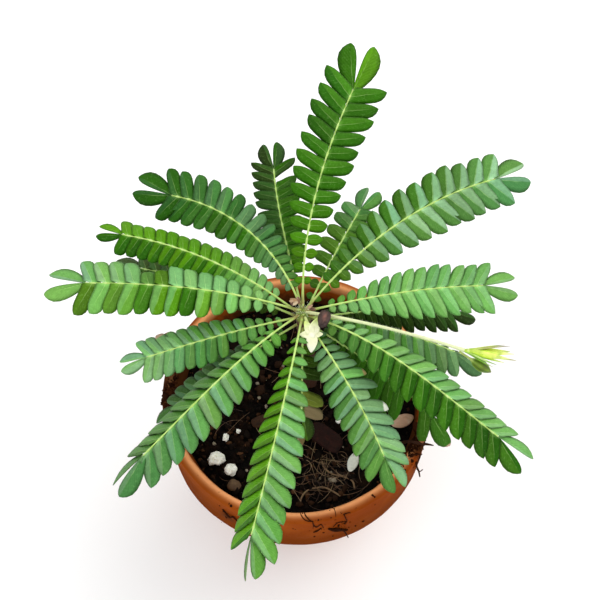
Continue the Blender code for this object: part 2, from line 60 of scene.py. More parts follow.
# Pot, as turned on the wheel
POT_HEIGHT = 98.0
RIM_RADIUS, LIP_RADIUS, LIP_ROUND = 55.5, 51.0, 2.0
COLLAR_HEIGHT, COLLAR_FOOT_RADIUS = 33.0, 55.2
SHOULDER_RADIUS = 49.5
BASE_RADIUS, BASE_EDGE, BASE_HOLLOW = 34.0, 1.5, 20.0
FLOOR_THICKNESS, FLOOR_RADIUS = 7.0, 28.0
NECK_RADIUS, NECK_DEPTH = 45.5, 30.0
DRAIN_RADIUS, SMALL_EDGE = 6.0, 0.6
POT_SECTORS = 192
# How far down the pot's inside the dirt of the rim may lie
RIM_DROP = 8.0

# Camera, from the pot's axis
CAMERA_PLACE = np.array([1.0, -168.1, 462.8])
CAMERA_LENS, CAMERA_SENSOR, CAMERA_TILT = 58.56, 36.0, 30.0

# Potting mix
SOIL_DEPTH = 13.0
SOIL_SECTORS, SOIL_RINGS = 150, 60
FIBRES, FRONT_FIBRES = 120, 80
STEM_FOOT = np.array([5.0, 8.0])

# Crown and stem
CROWN = np.array([2.1, 8.0, 148.0])
STEM_RADIUS, STEM_TOP, STEM_SIDES = 3.0, 1.2, 20
LEAF_START = 0.5
ROOT_REACH = 3.0
# The stem's knots: share of the way up, bend to the back, thickness against the usual
STEM_KNOTS = ((0.0, 0.0, 1.0), (0.08, 0, 1.1), (0.25, 0.8, 1.0), (0.45, 1.0, 0.95),
              (0.65, 0.4, 1.0), (0.82, -0.1, 1.0), (0.96, 0, 1.0), (1.0, 0, 0.75))

# A leaf: compass direction, slope at the crown and at the tip, turn and bow sideways, in
# degrees; height above the crown and length of the midrib; number of leaflet pairs and length
# of the longest; how far the leaflets fold up, and how much more on the left, in degrees
FROND_WORDS = "heading slope tip_slope turn bow lift length pairs leaflet fold lean"
FRONDS = {
    1: (91, 36, 18, -27, -4, 3, 84.5, 15, 11.0, -6, 16),
    2: (44.5, 28, -13, -21, 0, 2, 92, 15, 12.6, -11, 19),
    3: (6, 16, -4.5, -3.5, 2, 2, 65.5, 15, 11.8, -7, 8),
    4: (10.5, 0, -20, -2, 0, -5, 56, 13, 10.0, -10, 0),
    5: (-6, 2, -18, -12, 0, -2, 57, 13, 10.0, -34, -20),
    6: (-24.5, 9.5, -12, -12.5, -8, 0, 82.5, 16, 11.4, -23, 0),
    7: (-59, 2.5, -17, -9.5, 2.5, -2, 59, 14, 11.0, -13, 0),
    8: (-99, 11.5, -18.5, -6, 0, 1, 84, 16, 11.3, -28, 13),
    9: (-139.5, 9.5, -24, -1, 5, 1, 77.5, 14, 13.8, -40, 1),
    10: (-164.5, 6, -9, -0.5, 1.5, -2, 57.5, 15, 9.4, -12, -3.5),
    11: (172, 20, -5, 5.5, 2.5, 2.5, 79, 15, 11.0, -10, 0.5),
    12: (149.5, 24, 5, 24, -0.5, -1, 72, 17, 8.5, -21, -6.5),
    13: (114, 31.5, -2.5, 55, 1.5, 2, 67.5, 16, 8.6, -10, -32),
    14: (104, 23.5, 10.5, -10, 3.5, 0, 56, 13, 8.6, -13, -2.5),
    15: (63, 22, -5, 0, 0, -3, 49, 9, 9.6, -12, 0),
    16: (-31, -6, -35, 0, 0, -6, 58.5, 13, 12.4, -12, 0),
    17: (-91, -14, -50, 0, 0, -6, 34, 8, 9.4, -14, 0),
    18: (-147.5, -2, -30, 0, 0, -6, 55, 13, 9.4, -14, 0),
    19: (158, 8, -12, 4, 0, -4, 66, 14, 9.4, -12, 0),
}
# How the leaflets stand along a midrib: how wide they are against the gaps, the bare stalk's
# share, the first and last gaps against the middle ones, the first leaflet's share of the
# longest and where they reach it, the growth beyond that, the angles at the crown and at the
# tip, and the terminal pair's angle, twist to the left and size
HABIT_WORDS = ("fill bare first_gap last_gap first ripe late open_angle tip_angle "
               "pair_angle pair_twist pair_size")
HABIT = (1.12, 0.11, 0.84, 0.98, 0.27, 0.57, 1.08, 92, 52, 18, 0, 1.15)
OWN_HABITS = {
    1: (0.95, 0.09, 0.89, 1.1, 0.28, 0.6, 1.5, 93, 53, 18, 14, 1.51),
    2: (1.1, 0.13, 0.78, 1.1, 0.24, 0.57, 1.21, 92, 46, 19, 0, 1.16),
    3: (1.08, 0.11, 0.84, 1.1, 0.18, 0.61, 1.03, 78, 56, 21, 2, 0.97),
    6: (1.1, 0.11, 0.88, 0.9, 0.34, 0.53, 1.04, 81, 47, 21, -4, 1.11),
    7: (1.12, 0.11, 0.67, 0.94, 0.33, 0.57, 1.07, 92, 44, 15, 6, 1.01),
    8: (1.1, 0.11, 0.81, 1.05, 0.27, 0.6, 1.22, 102, 42, 13, 13.5, 1.08),
    9: (1.13, 0.15, 0.8, 1.04, 0.29, 0.57, 1.09, 106, 44, 17, 0, 1.04),
    10: (1.12, 0.1, 0.87, 0.89, 0.18, 0.61, 1.09, 90, 58, 16, -2, 0.99),
    11: (1.1, 0.11, 0.93, 0.98, 0.27, 0.55, 1.21, 99, 60, 21, -3, 1.23),
    12: (1.12, 0.13, 0.74, 0.98, 0.31, 0.36, 0.97, 87, 65, 19, -4, 0.92),
    13: (1.12, 0.12, 0.7, 1.06, 0.34, 0.54, 1.5, 135, 49, 17, -7.5, 1.6),
    14: (1.06, 0.25, 0.93, 0.84, 0.3, 0.5, 1.35, 101, 51, 18, 4, 1.32),
    15: (0.9, *HABIT[1:]),
}
# The terminal pair: its share of the last gap, and its width against its length
PAIR_GAP, PAIR_WIDTH = 0.5, 0.45
# Leaflets that differ in length from their neighbours: leaf, hand, place from the tip, share
STUNTED = {(11, "right", 5): 0.55, (11, "right", 6): 0.7, (7, "left", 6): 0.55,
           (10, "left", 9): 0.5, (15, "right", 1): 0.8, (7, "left", 7): 1.12}
# How far a leaf's leaflets have the blunt outline
BLUNT = {5: 0.6, 7: 0.4, 10: 1.0, 11: 1.0, 12: 0.8, 13: 0.9, 16: 0.6, 18: 0.6}
# Leaflets that have been shed: leaf, hand, place from the tip
SHED = {(14, "right", 2), (16, "right", 2), (16, "right", 3), (17, "left", 3)}
# Terminal leaflets that stand on edge: leaf, hand, degrees
EDGEWISE = {(8, "right"): -47.0, (9, "left"): 34.0, (12, "left"): 14.0, (12, "right"): 14.0}

# A sepal: turn about the flower's axis from its left, in degrees, length, opening, half width,
# and its colours from foot to tip
SEPALS = (
    (12, 13.5, 0.40, 0.85, "#C6DC6C #CDE070 #8A7A58"),
    (50, 15.5, 0.34, 0.8, "#CBE06A #A8A860 #6A5A44"),
    (140, 15.5, 0.22, 1.2, "#B4D04A #E4F56A #EEF6A4"),
    (185, 14.0, 0.26, 1.15, "#9CC23A #CDE84A #E8F490"),
    (215, 10.5, 0.62, 1.0, "#5F9A2C #8FC83E #A9B86A"),
    (196, 11.5, 0.44, 1.35, "#B4DC5A #CDEB8C #5F9A2C"),
    (206, 9.0, 0.30, 1.2, "#C8E88A #86BE3E #E4F6B8"),
    (285, 13.5, 0.30, 1.1, "#7FAE1E #B6DC2E #E2F07A"),
    (330, 15.5, 0.26, 1.2, "#A4CC2C #DDF24E #F2F8A0"),
    (75, 17.0, 0.08, 1.4, "#B8DA34 #E6F85E #F6FAB8"),
    (110, 13.5, 0.20, 1.0, "#8CB81C #C0E034 #E6F27A"),
    (165, 18.0, 0.12, 0.9, "#8CB81C #DCEE6A #B8B088"),
)

# Half widths of a leaflet at stations along the chord from its foot to its tip, as shares of
# its width: towards the leaf's tip and towards the crown
LEAFLET_RINGS = np.array([0.02, 0.07, 0.18, 0.34, 0.5, 0.66, 0.8, 0.91, 0.97])
STATIONS = (0, 0.02, 0.08, 0.2, 0.35, 0.5, 0.65, 0.78, 0.88, 0.95, 0.985, 1.0)


def at_rings(*edges):
    """The half widths at a leaflet's rings, from those at the stations."""
    return np.stack([np.interp(LEAFLET_RINGS, STATIONS, edge) for edge in edges])


USUAL_EDGES = at_rings((0, 0.55, 0.56, 0.50, 0.46, 0.43, 0.38, 0.30, 0.19, 0.09, 0.03, 0),
                       (0, 0.58, 0.60, 0.59, 0.60, 0.63, 0.63, 0.57, 0.43, 0.24, 0.09, 0))
BLUNT_EDGES = at_rings((0, 0.55, 0.56, 0.50, 0.46, 0.44, 0.41, 0.36, 0.27, 0.15, 0.06, 0),
                       (0, 0.58, 0.60, 0.60, 0.62, 0.65, 0.67, 0.65, 0.57, 0.39, 0.18, 0))
YOUNG_EDGE = at_rings((0, 0.22, 0.34, 0.47, 0.55, 0.56, 0.49, 0.36, 0.22, 0.10, 0.03, 0))
PAIR_EDGES = at_rings((0, 0.04, 0.08, 0.14, 0.20, 0.25, 0.28, 0.28, 0.23, 0.15, 0.06, 0),
                      (0, 0.22, 0.33, 0.48, 0.60, 0.68, 0.70, 0.64, 0.49, 0.29, 0.12, 0))
# Round a leaflet: how far across each point of a ring lies, and which face it is on
ACROSS = np.array([1, 0.5, 0, -0.5, -1, -0.5, 0, 0.5])
FACE = np.array([0, 1, 1, 1, 0, -1, -1, -1])


def tint(code):
    """A colour written as a hexadecimal display colour, as linear red, green and blue."""
    display = np.array([int(code[k:k + 2], 16) for k in (1, 3, 5)]) / 255
    return np.where(display <= 0.04045, display / 12.92, ((display + 0.055) / 1.055) ** 2.4)


# Colours of the leaves
GREENS = {name: tint(code) for name, code in dict(
    shade="#243F0C", drab="#34500F", bottle="#296A0A", deep="#367A08", forest="#417A1A",
    grass="#478A1A", moss="#55881C", olive="#4F7A14", lime="#60A410", herb="#62972C",
    leafy="#5F9A44", fern="#5B9E52", pea="#70B84A", apple="#7CC060", mint="#8CCA7A",
    pale="#9BDC7E", haze="#8FC48A", frost="#A2D69E", fog="#7FB074", sage="#6A9C60",
    dusk="#5C8B58", pine="#3C6A28", spruce="#377330", wilt="#93A43E", straw="#B9A66A",
    blush="#C9A58E", rust="#9A5B3C", tan="#8F7B5A", milk="#E6E9DA").items()}
# Each leaf's greens on its left and on its right: of the young leaflets by the crown, then of
# the rear and front halves in the middle, and of the same at the tip. Besides the leaves' own
# greens they hold painted light: the paler, greyer front halves are partly a painted sheen, and
# the darker greens of leaves and halves that lie under others or face away from the light are
# painted shade
TONES = {
    1: ("lime deep grass bottle grass", "lime deep grass deep grass"),
    2: ("forest forest haze leafy frost", "moss leafy frost fern haze"),
    3: ("pea apple mint apple mint", "pale apple pale apple mint"),
    4: ("shade shade drab shade drab", "drab shade drab shade pine"),
    5: ("drab pine pine dusk fog", "leafy pea fog dusk fog"),
    6: ("pale apple mint apple mint", "leafy grass bottle forest bottle"),
    7: ("sage fog haze haze mint", "fog leafy haze leafy leafy"),
    8: ("apple apple haze pea mint", "lime lime moss lime deep"),
    9: ("pea apple haze fern fog", "pea grass leafy leafy forest"),
    10: ("apple leafy fern haze mint", "apple pea haze haze pale"),
    11: ("pale lime apple apple apple", "pale mint mint apple haze"),
    12: ("pale deep lime bottle deep", "pale lime lime lime lime"),
    13: ("fog leafy deep bottle spruce", "leafy fern dusk bottle spruce"),
    14: ("sage pine pine shade pine", "lime deep forest pine deep"),
    15: ("forest moss herb fern fog", "herb leafy herb leafy fern"),
    16: ("forest forest grass forest forest", "forest forest grass forest forest"),
    17: ("olive drab drab drab olive", "olive drab olive olive olive"),
    18: ("forest pine dusk pine dusk", "forest pine dusk pine dusk"),
    19: ("drab drab pine drab pine", "drab drab pine drab pine"),
}
# Single leaflets with a green of their own: leaf, hand, place from the tip
ODD_ONES = {
    (11, "left", 1): "moss", (11, "left", 3): "herb", (11, "left", 5): "grass",
    (11, "left", 8): "deep", (11, "right", 5): "leafy", (11, "right", 6): "moss",
    (13, "right", 7): "sage", (13, "right", 8): "sage", (13, "right", 6): "spruce",
    (7, "left", 8): "apple", (17, "left", 2): "wilt", (1, "right", 0): "lime",
    (1, "left", 0): "deep",
}
# Leaflets whose ends have dried: leaf, hand, place from the tip, colour, share of the length
DRIED = {
    (10, "right", 3): ("blush", 0.2), (10, "right", 4): ("rust", 0.08),
    (7, "left", 8): ("straw", 0.16), (7, "left", 5): ("milk", 0.2),
    (16, "right", 0): ("blush", 0.06), (16, "right", 1): ("rust", 0.06),
    (17, "left", 1): ("tan", 0.9),
}


def unit(vectors):
    """Vectors divided by their lengths."""
    return vectors / np.linalg.norm(vectors, axis=-1, keepdims=True)


def mixed(first, second, share):
    """What lies a share of the way from the first to the second."""
    return first + (second - first) * share


def ease(values, low, high):
    """0 below low and 1 above high, with a smooth rise of 3t2 - 2t3 between."""
    t = np.clip((values - low) / (high - low), 0, 1)
    return t * t * (3 - 2 * t)


def polar(radius, compass, height=0.0):
    """Points from their distance to the vertical axis, compass direction and height: radius x
    cos, radius x sin, height."""
    parts = radius * np.cos(compass), radius * np.sin(compass), height
    return np.stack(np.broadcast_arrays(*parts), -1)


def compass_way(heading, rise):
    """The unit direction of a compass heading and a rise, both in degrees."""
    heading, rise = np.radians(heading), np.radians(rise)
    return polar(np.cos(rise), heading, np.sin(rise))


def turned(angle, first, second):
    """The direction at an angle from a first one towards a second: cos x first + sin x second."""
    angle = np.asarray(angle, float)[..., None]
    return np.cos(angle) * first + np.sin(angle) * second


def spun(points, turn):
    """Points turned about the vertical axis."""
    return turned(turn, points, np.cross(UP, points)) * [1, 1, 0] + points * UP


def beside(way):
    """The level direction to the left of a way, and the direction above it."""
    left = unit(np.cross(UP, way))
    return left, np.cross(way, left)


def full_turn(count):
    """Even steps once round, in radians."""
    return math.tau * np.arange(count) / count


def plump(t, foot, span, power):
    """A half width that swells and closes again: sin(pi(foot + span t)) to a power."""
    return np.sin(np.pi * (foot + span * t)) ** power


def wobble(points, size, seed, waves=8):
    """Smooth noise of about -1 to 1: a sum of sine waves in random directions, each roughly
    `size` millimetres long."""
    chance = np.random.default_rng(seed)
    ways = unit(chance.normal(size=(waves, 3)))
    ways *= math.tau / size * chance.uniform(0.6, 1.6, (waves, 1))
    phases = chance.uniform(0, math.tau, waves)
    return np.sin(points @ ways.T + phases).sum(-1) / math.sqrt(waves / 2) * 0.6


class Shape:
    """Points with their marks, and faces with their finish, gathered for one mesh. A mark is
    one value or colour for all points, or an array with one for each."""

    def __init__(self, points, quads=None, tris=None, finish=0, **marks):
        self.points = np.asarray(points, float).reshape(-1, 3)
        self.quads = np.zeros((0, 4), int) if quads is None else np.asarray(quads, int)
        self.tris = np.zeros((0, 3), int) if tris is None else np.asarray(tris, int)
        self.quad_finish = np.full(len(self.quads), finish)
        self.tri_finish = np.full(len(self.tris), finish)
        self.marks = {}
        for name, values in marks.items():
            values = np.asarray(tint(values) if isinstance(values, str) else values, float)
            if values.ndim == 0 or values.shape == (3,):
                values = np.broadcast_to(values, (len(self.points), *values.shape))
            self.marks[name] = values


def joined(shapes):
    """One shape of several: their points one after another, with zeros for missing marks."""
    whole = Shape(np.concatenate([s.points for s in shapes]))
    starts = np.cumsum([0] + [len(s.points) for s in shapes[:-1]])
    whole.quads = np.concatenate([s.quads + k for s, k in zip(shapes, starts)])
    whole.tris = np.concatenate([s.tris + k for s, k in zip(shapes, starts)])
    whole.quad_finish = np.concatenate([s.quad_finish for s in shapes])
    whole.tri_finish = np.concatenate([s.tri_finish for s in shapes])
    sizes = {name: values.shape[1:] for s in shapes for name, values in s.marks.items()}
    for name, size in sizes.items():
        whole.marks[name] = np.concatenate(
            [s.marks.get(name, np.zeros((len(s.points), *size))) for s in shapes])
    return whole


def skin(rows, around):
    """Faces of a closed skin: rings of points joined row by row, and a fan to one more point
    at each end."""
    here = np.arange(around)
    following = (here + 1) % around
    row = np.arange(rows - 1)[:, None] * around
    quads = np.stack(
        [row + here, row + following, row + around + following, row + around + here], -1
    ).reshape(-1, 4)
    first, last = rows * around, rows * around + 1
    top = (rows - 1) * around
    low = np.stack([np.full(around, first), following, here], -1)
    high = np.stack([np.full(around, last), top + here, top + following], -1)
    return quads, np.concatenate([low, high])


def repeated(points, quads, tris, finish=0, **marks):
    """One shape of many alike: points (copies, points, 3) on the same faces."""
    copies, count = points.shape[:2]
    shift = np.arange(copies)[:, None, None] * count
    return Shape(points, (quads + shift).reshape(-1, 4), (tris + shift).reshape(-1, 3),
                 finish, **marks)


def smooth_path(knots, steps):
    """A path through knots, with each coordinate on a Catmull-Rom curve."""
    knots = np.asarray(knots, float)
    padded = np.concatenate([2 * knots[:1] - knots[1:2], knots, 2 * knots[-1:] - knots[-2:-1]])
    at = np.linspace(0, len(knots) - 1, steps)
    k = np.minimum(at.astype(int), len(knots) - 2)
    t = (at - k)[:, None]
    a, b, c, d = (padded[k + j] for j in range(4))
    return 0.5 * (2 * b + (c - a) * t + (2 * a - 5 * b + 4 * c - d) * t**2
                  + (3 * b - a - 3 * c + d) * t**3)


def rod(path, radii, sides=8, finish=0, upright=UP, flat=1.0, **marks):
    """A closed rod: rings of the given radii square to a path, and a point at each end that
    stands out by a part of the radius."""
    end_bulge = 0.4
    path = np.asarray(path, float)
    radii = np.broadcast_to(np.asarray(radii, float), len(path))
    way = unit(np.gradient(path, axis=0))
    side = unit(np.cross(upright, way))
    other = np.cross(way, side)
    ring = turned(full_turn(sides), side[:, None], flat * other[:, None])
    rings = path[:, None] + radii[:, None, None] * ring
    ends = path[[0, -1]] + way[[0, -1]] * radii[[0, -1], None] * [[-end_bulge], [end_bulge]]
    quads, tris = skin(len(path), sides)
    along = np.concatenate([np.repeat(np.linspace(0, 1, len(path)), sides), [0, 1]])
    return Shape(np.concatenate([rings.reshape(-1, 3), ends]), quads, tris, finish,
                 along=along, **marks)


def ball_points(rises, ways):
    """Rings of points on a ball of radius 1 at the given rises, and its two poles."""
    rises = np.radians(rises)[:, None]
    rings = polar(np.cos(rises), ways, np.sin(rises))
    return np.concatenate([rings.reshape(-1, 3), [-UP, UP]])


def lump(centre, half_sizes, seed, rough, grain, rows, around, crease=0.0, turn=0.0, **marks):
    """A closed pebble: a ball's points pushed in and out by smooth noise, and in at creases,
    stretched to half sizes and turned about the vertical."""
    steepest = 80
    ball = ball_points(np.linspace(-steepest, steepest, rows), full_turn(around))
    push = 1 + rough * wobble(ball, grain * 2, seed)
    push -= crease * np.abs(wobble(ball, grain, seed + 1))
    body = spun(ball * push[:, None] * np.asarray(half_sizes, float), turn)
    return Shape(body + centre, *skin(rows, around), **marks)


def lathe(profile, sectors, push):
    """A closed turned body: a loop of (radius, height) points carried round the axis, where
    `push` says what to add to the radius and height of each point."""
    way = full_turn(sectors)
    radius, height = (np.repeat(column[:, None], sectors, 1) for column in profile.T)
    shift, lift = push(polar(radius, way, height))
    points = polar(radius + shift, way, height + lift)
    rows = len(profile)
    row = np.arange(rows)[:, None]
    here = np.arange(sectors)
    following = (here + 1) % sectors
    after = (row + 1) % rows
    quads = np.stack([
        row * sectors + here, after * sectors + here,
        after * sectors + following, row * sectors + following], -1).reshape(-1, 4)
    return Shape(points, quads)


def scattered(places, sizes, seed, rough, finish, **marks):
    """Small crumbs: rings of 5 points and two ends each, stretched and shaken at random, and
    flatter than wide."""
    chance = np.random.default_rng(seed)
    corners, squash = 5, 0.7
    ball = ball_points([-28, 28], full_turn(corners) + [[0], [math.pi / corners]])
    count = len(places)
    stretch = chance.uniform(0.6, 1.25, (count, 1, 3)) * [1, 1, squash]
    body = ball * stretch * (1 + rough * chance.uniform(-1, 1, (count, len(ball), 1)))
    body = spun(body, chance.uniform(0, math.tau, (count, 1)))
    body = body * np.reshape(sizes, (-1, 1, 1)) + places[:, None]
    spread = {name: np.repeat(values, len(ball), 0) for name, values in marks.items()}
    return repeated(body, *skin(2, corners), finish, **spread)


def spikes(feet, ways, lengths, radius, finish):
    """Fine stiff hairs: three foot points round each foot and one tip, closed underneath."""
    ways = unit(ways)
    helper = np.where(np.abs(ways[:, 2:]) < 0.8, [[0.0, 0, 1]], [[1.0, 0, 0]])
    side = unit(np.cross(helper, ways))
    other = np.cross(ways, side)
    base = feet[:, None] + radius * turned(full_turn(3), side[:, None], other[:, None])
    tip = feet + ways * lengths[:, None]
    points = np.concatenate([base, tip[:, None]], 1)
    tris = np.array([[0, 1, 3], [1, 2, 3], [2, 0, 3], [0, 2, 1]])
    return repeated(points, np.zeros((0, 4), int), tris, finish)


def write_mesh(name, shape, finishes):
    """A mesh object at the origin from a shape in millimetres, with its marks as attributes."""
    mesh = bpy.data.meshes.new(name)
    points = (shape.points + POT_AXIS) * MM
    quads, tris = len(shape.quads), len(shape.tris)
    corners = np.concatenate([shape.quads.ravel(), shape.tris.ravel()])
    starts = np.concatenate([4 * np.arange(quads), 4 * quads + 3 * np.arange(tris)])
    mesh.vertices.add(len(points))
    mesh.loops.add(len(corners))
    mesh.polygons.add(quads + tris)
    for kind, what, values in (
            (mesh.vertices, "co", points.ravel()), (mesh.loops, "vertex_index", corners),
            (mesh.polygons, "loop_start", starts),
            (mesh.polygons, "material_index",
             np.concatenate([shape.quad_finish, shape.tri_finish])),
            (mesh.polygons, "use_smooth", np.ones(quads + tris, bool))):
        kind.foreach_set(what, values)
    for mark, values in shape.marks.items():
        kind, what = ("FLOAT", "value") if values.ndim == 1 else ("FLOAT_VECTOR", "vector")
        mesh.attributes.new(mark, kind, "POINT").data.foreach_set(what, values.ravel())
    mesh.update(calc_edges=True)
    if mesh.validate():
        raise RuntimeError(f"{name} had faults in its mesh")
    for finish in finishes:
        mesh.materials.append(finish)
    thing = bpy.data.objects.new(name, mesh)
    bpy.context.scene.collection.objects.link(thing)
    return thing


def grow(name, shape, finishes, node):
    """Writes a piece, lets it ride with the plant and stand for its CAD node."""
    thing = write_mesh(name, shape, finishes)
    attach(thing, "root")
    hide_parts(node)


# Finishes

class Signal:
    """A shader socket that arithmetic works on: each operator adds a Math node."""

    def __init__(self, finish, socket):
        self.finish = finish
        self.socket = socket

    def maths(self, operation, *others):
        """The result of a Math node on this signal and the others."""
        node = self.finish.add("ShaderNodeMath", {"operation": operation},
                               dict(enumerate((self, *others))))
        return node[0]

    def __add__(self, other):
        return self.maths("ADD", other)

    def __sub__(self, other):
        return self.maths("SUBTRACT", other)

    def __rsub__(self, other):
        return self.maths("MULTIPLY_ADD", -1.0, other)

    def __mul__(self, other):
        return self.maths("MULTIPLY", other)

    def __abs__(self):
        return self.maths("ABSOLUTE")

    __radd__ = __add__
    __rmul__ = __mul__

    def between(self, low, high):
        """0 at low and 1 at high, with a smooth rise."""
        node = self.finish.add("ShaderNodeMapRange", {"interpolation_type": "SMOOTHSTEP"},
                               {"Value": self, "From Min": low, "From Max": high})
        return node["Result"]


class Added:
    """A node whose outputs are read as signals, by name or number."""

    def __init__(self, finish, node):
        self.finish = finish
        self.node = node

    def __getitem__(self, key):
        return Signal(self.finish, self.node.outputs[key])


class Finish:
    """One procedural material, built up from signals. Colours are signals, tuples or codes."""

    def __init__(self, name, **fixed):
        self.material = bpy.data.materials.new(name)
        self.material.use_nodes = True
        self.tree = self.material.node_tree
        self.shader = self.tree.nodes["Principled BSDF"]
        for socket, value in fixed.items():
            self.shader.inputs[socket.replace("_", " ")].default_value = value
        self.place = self.add("ShaderNodeTexCoord", {}, {})["Object"]

    def add(self, kind, settings, inputs):
        """A node: its settings first, then the values or links of its sockets."""
        node = self.tree.nodes.new(kind)
        for name, value in settings.items():
            setattr(node, name, value)
        for key, value in inputs.items():
            self.link(value, node.inputs[key])
        return Added(self, node)

    def link(self, value, socket):
        """Leads a signal to a socket, or sets the socket's own value."""
        if isinstance(value, str):
            value = tuple(tint(value))
        if isinstance(value, Signal):
            self.tree.links.new(value.socket, socket)
        elif socket.type == "RGBA" and len(value) == 3:
            socket.default_value = (*value, 1.0)
        else:
            socket.default_value = value

    def mark(self, name, part="Fac"):
        """A mark carried by the mesh, as a number or as a vector."""
        return self.add("ShaderNodeAttribute", {"attribute_name": name}, {})[part]

    def noise(self, size, detail=3.0, rough=0.55, stretch=None):
        """Noise whose features are about `size` millimetres across."""
        place = self.place
        if stretch is not None:
            place = self.add("ShaderNodeMapping", {}, {"Vector": place, "Scale": stretch})["Vector"]
        return self.add("ShaderNodeTexNoise", {}, {
            "Vector": place, "Scale": 1 / (size * MM), "Detail": detail,
            "Roughness": rough})["Fac"]

    def cells(self, size):
        """Distance to the nearest of points that are about `size` millimetres apart."""
        return self.add("ShaderNodeTexVoronoi", {}, {
            "Vector": self.place, "Scale": 1 / (size * MM)})["Distance"]

    def blend(self, first, second, share):
        """A colour between two. The sockets' numbers are those of the Mix node's colours."""
        return self.add("ShaderNodeMix", {"data_type": "RGBA"},
                        {0: share, 6: first, 7: second})[2]

    def tinted(self, colour, strength):
        """A colour made brighter or darker by a signal."""
        return self.add("ShaderNodeVectorMath", {"operation": "SCALE"},
                        {0: colour, "Scale": strength})["Vector"]

    def bump(self, height, depth, under=None):
        """A normal pushed by a height signal of `depth` millimetres."""
        inputs = {"Height": height, "Strength": 1.0, "Distance": depth * MM}
        if under is not None:
            inputs["Normal"] = under
        return self.add("ShaderNodeBump", {}, inputs)["Normal"]

    def done(self, colour, roughness, normal=None):
        """The material, with its colour, roughness and normal led to the shader."""
        self.link(colour, self.shader.inputs["Base Color"])
        self.link(roughness, self.shader.inputs["Roughness"])
        if normal is not None:
            self.link(normal, self.shader.inputs["Normal"])
        return self.material


def clay_finish(colours):
    """Fired clay: cloudy colour with upright streaks, fine grit and pits, painted shade where the
    mesh marks it, down the collar, over its top's outer edge and on the left, a painted highlight
    along the rounded top of the lip, dirt where the mesh is marked, and a pale bloom near the
    foot."""
    f = Finish("fired_clay", Specular_IOR_Level=0.01, Specular_Tint=(1.0, 0.5, 0.2, 1.0))
    clouds = f.noise(26, 3)
    specks = f.noise(1.6, 4, 0.7)
    streaks = f.noise(14, 3, 0.6, stretch=(1, 1, 4.5))
    colour = f.blend(tuple(colours.clay), tuple(colours.clay_light), clouds.between(0.35, 0.7))
    colour = f.blend(colour, "#7A2F0A", streaks.between(0.5, 0.8) * 0.35)
    # Painted shade: the collar darker towards its foot, over the outer part of its top and on the
    # left, away from the light
    colour = f.blend(colour, "#652B02", f.mark("painted_shade"))
    # Painted highlight along the rounded top of the lip
    colour = f.blend(colour, "#FFAE74", f.mark("lip_highlight") * clouds.between(-0.1, 0.55))
    colour = f.blend(colour, "#5A2A10", specks.between(0.58, 0.75) * 0.5)
    dirt = (f.mark("dirt") + f.noise(5, 4, 0.65) * 0.9 - 0.45).between(0.2, 0.8)
    colour = f.blend(colour, "#3A2414", dirt * 0.9)
    bloom = (f.mark("bloom") + clouds * 0.6 - 0.3).between(0.1, 0.9)
    colour = f.blend(colour, "#D9A987", bloom * 0.6)
    normal = f.bump(specks, 0.12)
    normal = f.bump(f.noise(0.5, 2), 0.05, normal)
    normal = f.bump(dirt, 0.3, normal)
    return f.done(colour, 0.62 + specks * 0.25 + dirt * 0.1, normal)


def soil_finish():
    """Damp peat: near-black with brown fibres and pits between the grains."""
    f = Finish("dark_peat", Specular_IOR_Level=0.06)
    clods = f.noise(7, 4, 0.6)
    colour = f.blend("#080504", "#22140C", clods.between(0.45, 0.72))
    colour = f.blend(colour, "#4A3322", f.noise(1.1, 3, 0.7).between(0.62, 0.78) * 0.6)
    normal = f.bump(f.cells(1.7), 0.5)
    normal = f.bump(f.noise(0.7, 3), 0.25, normal)
    return f.done(colour, 0.68 + clods * 0.25, normal)


def crumb_finish():
    """Crumbs of mix: each with its own shade, grained and pitted."""
    f = Finish("mix_crumbs", Specular_IOR_Level=0.08)
    grain = f.noise(0.6, 3, 0.6)
    colour = f.tinted(f.mark("shade", "Vector"), 0.7 + grain * 0.6)
    return f.done(colour, 0.75 + grain * 0.2, f.bump(grain, 0.15))


def blade_finish():
    """Leaf blade: the greens marked on the mesh, split along the vein into a rear and a front
    green, which carry painted sheen and painted shade as well as the leaves' own tones, with fine
    slanting side veins, a pale edge, dull undersides and small blotches."""
    f = Finish("leaf_blade", Specular_IOR_Level=0.16, Specular_Tint=(0.75, 1.0, 0.4, 1.0))
    along = f.mark("along")
    across = f.mark("across") + (f.noise(3.0, 2) - 0.5) * 0.22
    aside = abs(across)
    # The rear and front greens hold painted light: the paler front is partly a painted sheen, and
    # shaded leaves and halves have painted shade
    colour = f.blend(f.mark("rear", "Vector"), f.mark("front", "Vector"),
                     across.between(-0.10, 0.14))
    mottle = f.noise(1.5, 3, 0.6)
    cloud = f.noise(6, 2)
    fleck = f.noise(0.8, 3, 0.7)
    ribs = ((along * 11 + aside * -4.2) * math.tau).maths("SINE")
    vein = (1 - aside.between(0.015, 0.07)) * (1 - along.between(0.35, 0.85))
    foot = (1 - along.between(0.0, 0.14)) * (1 - aside.between(0.2, 0.7))
    light = 0.27 + mottle * 0.2 + cloud * 0.24 + fleck * 0.34
    light = light + ribs.between(0.4, 1.0) * 0.07 + vein * 0.22 + foot * 0.3
    colour = f.tinted(colour, light)
    colour = f.blend(colour, "#C2E08C", vein * 0.2 + foot * 0.12)
    pale = fleck.between(0.55, 0.72) * 0.09 + aside.between(0.92, 1.02) * 0.16
    colour = f.blend(colour, "#BCDC96", pale)
    dried = (f.mark("dry") + mottle * 0.5 - 0.25).between(0.3, 0.6)
    colour = f.blend(colour, f.mark("dry_tone", "Vector"), dried)
    under = f.mark("under")
    colour = f.blend(colour, "#9DB98C", under * 0.45)
    normal = f.bump(vein, -0.12)
    normal = f.bump(ribs * 0.5 + 0.5, 0.07, normal)
    normal = f.bump(fleck, 0.04, normal)
    return f.done(colour, 0.42 + mottle * 0.2 + under * 0.2, normal)


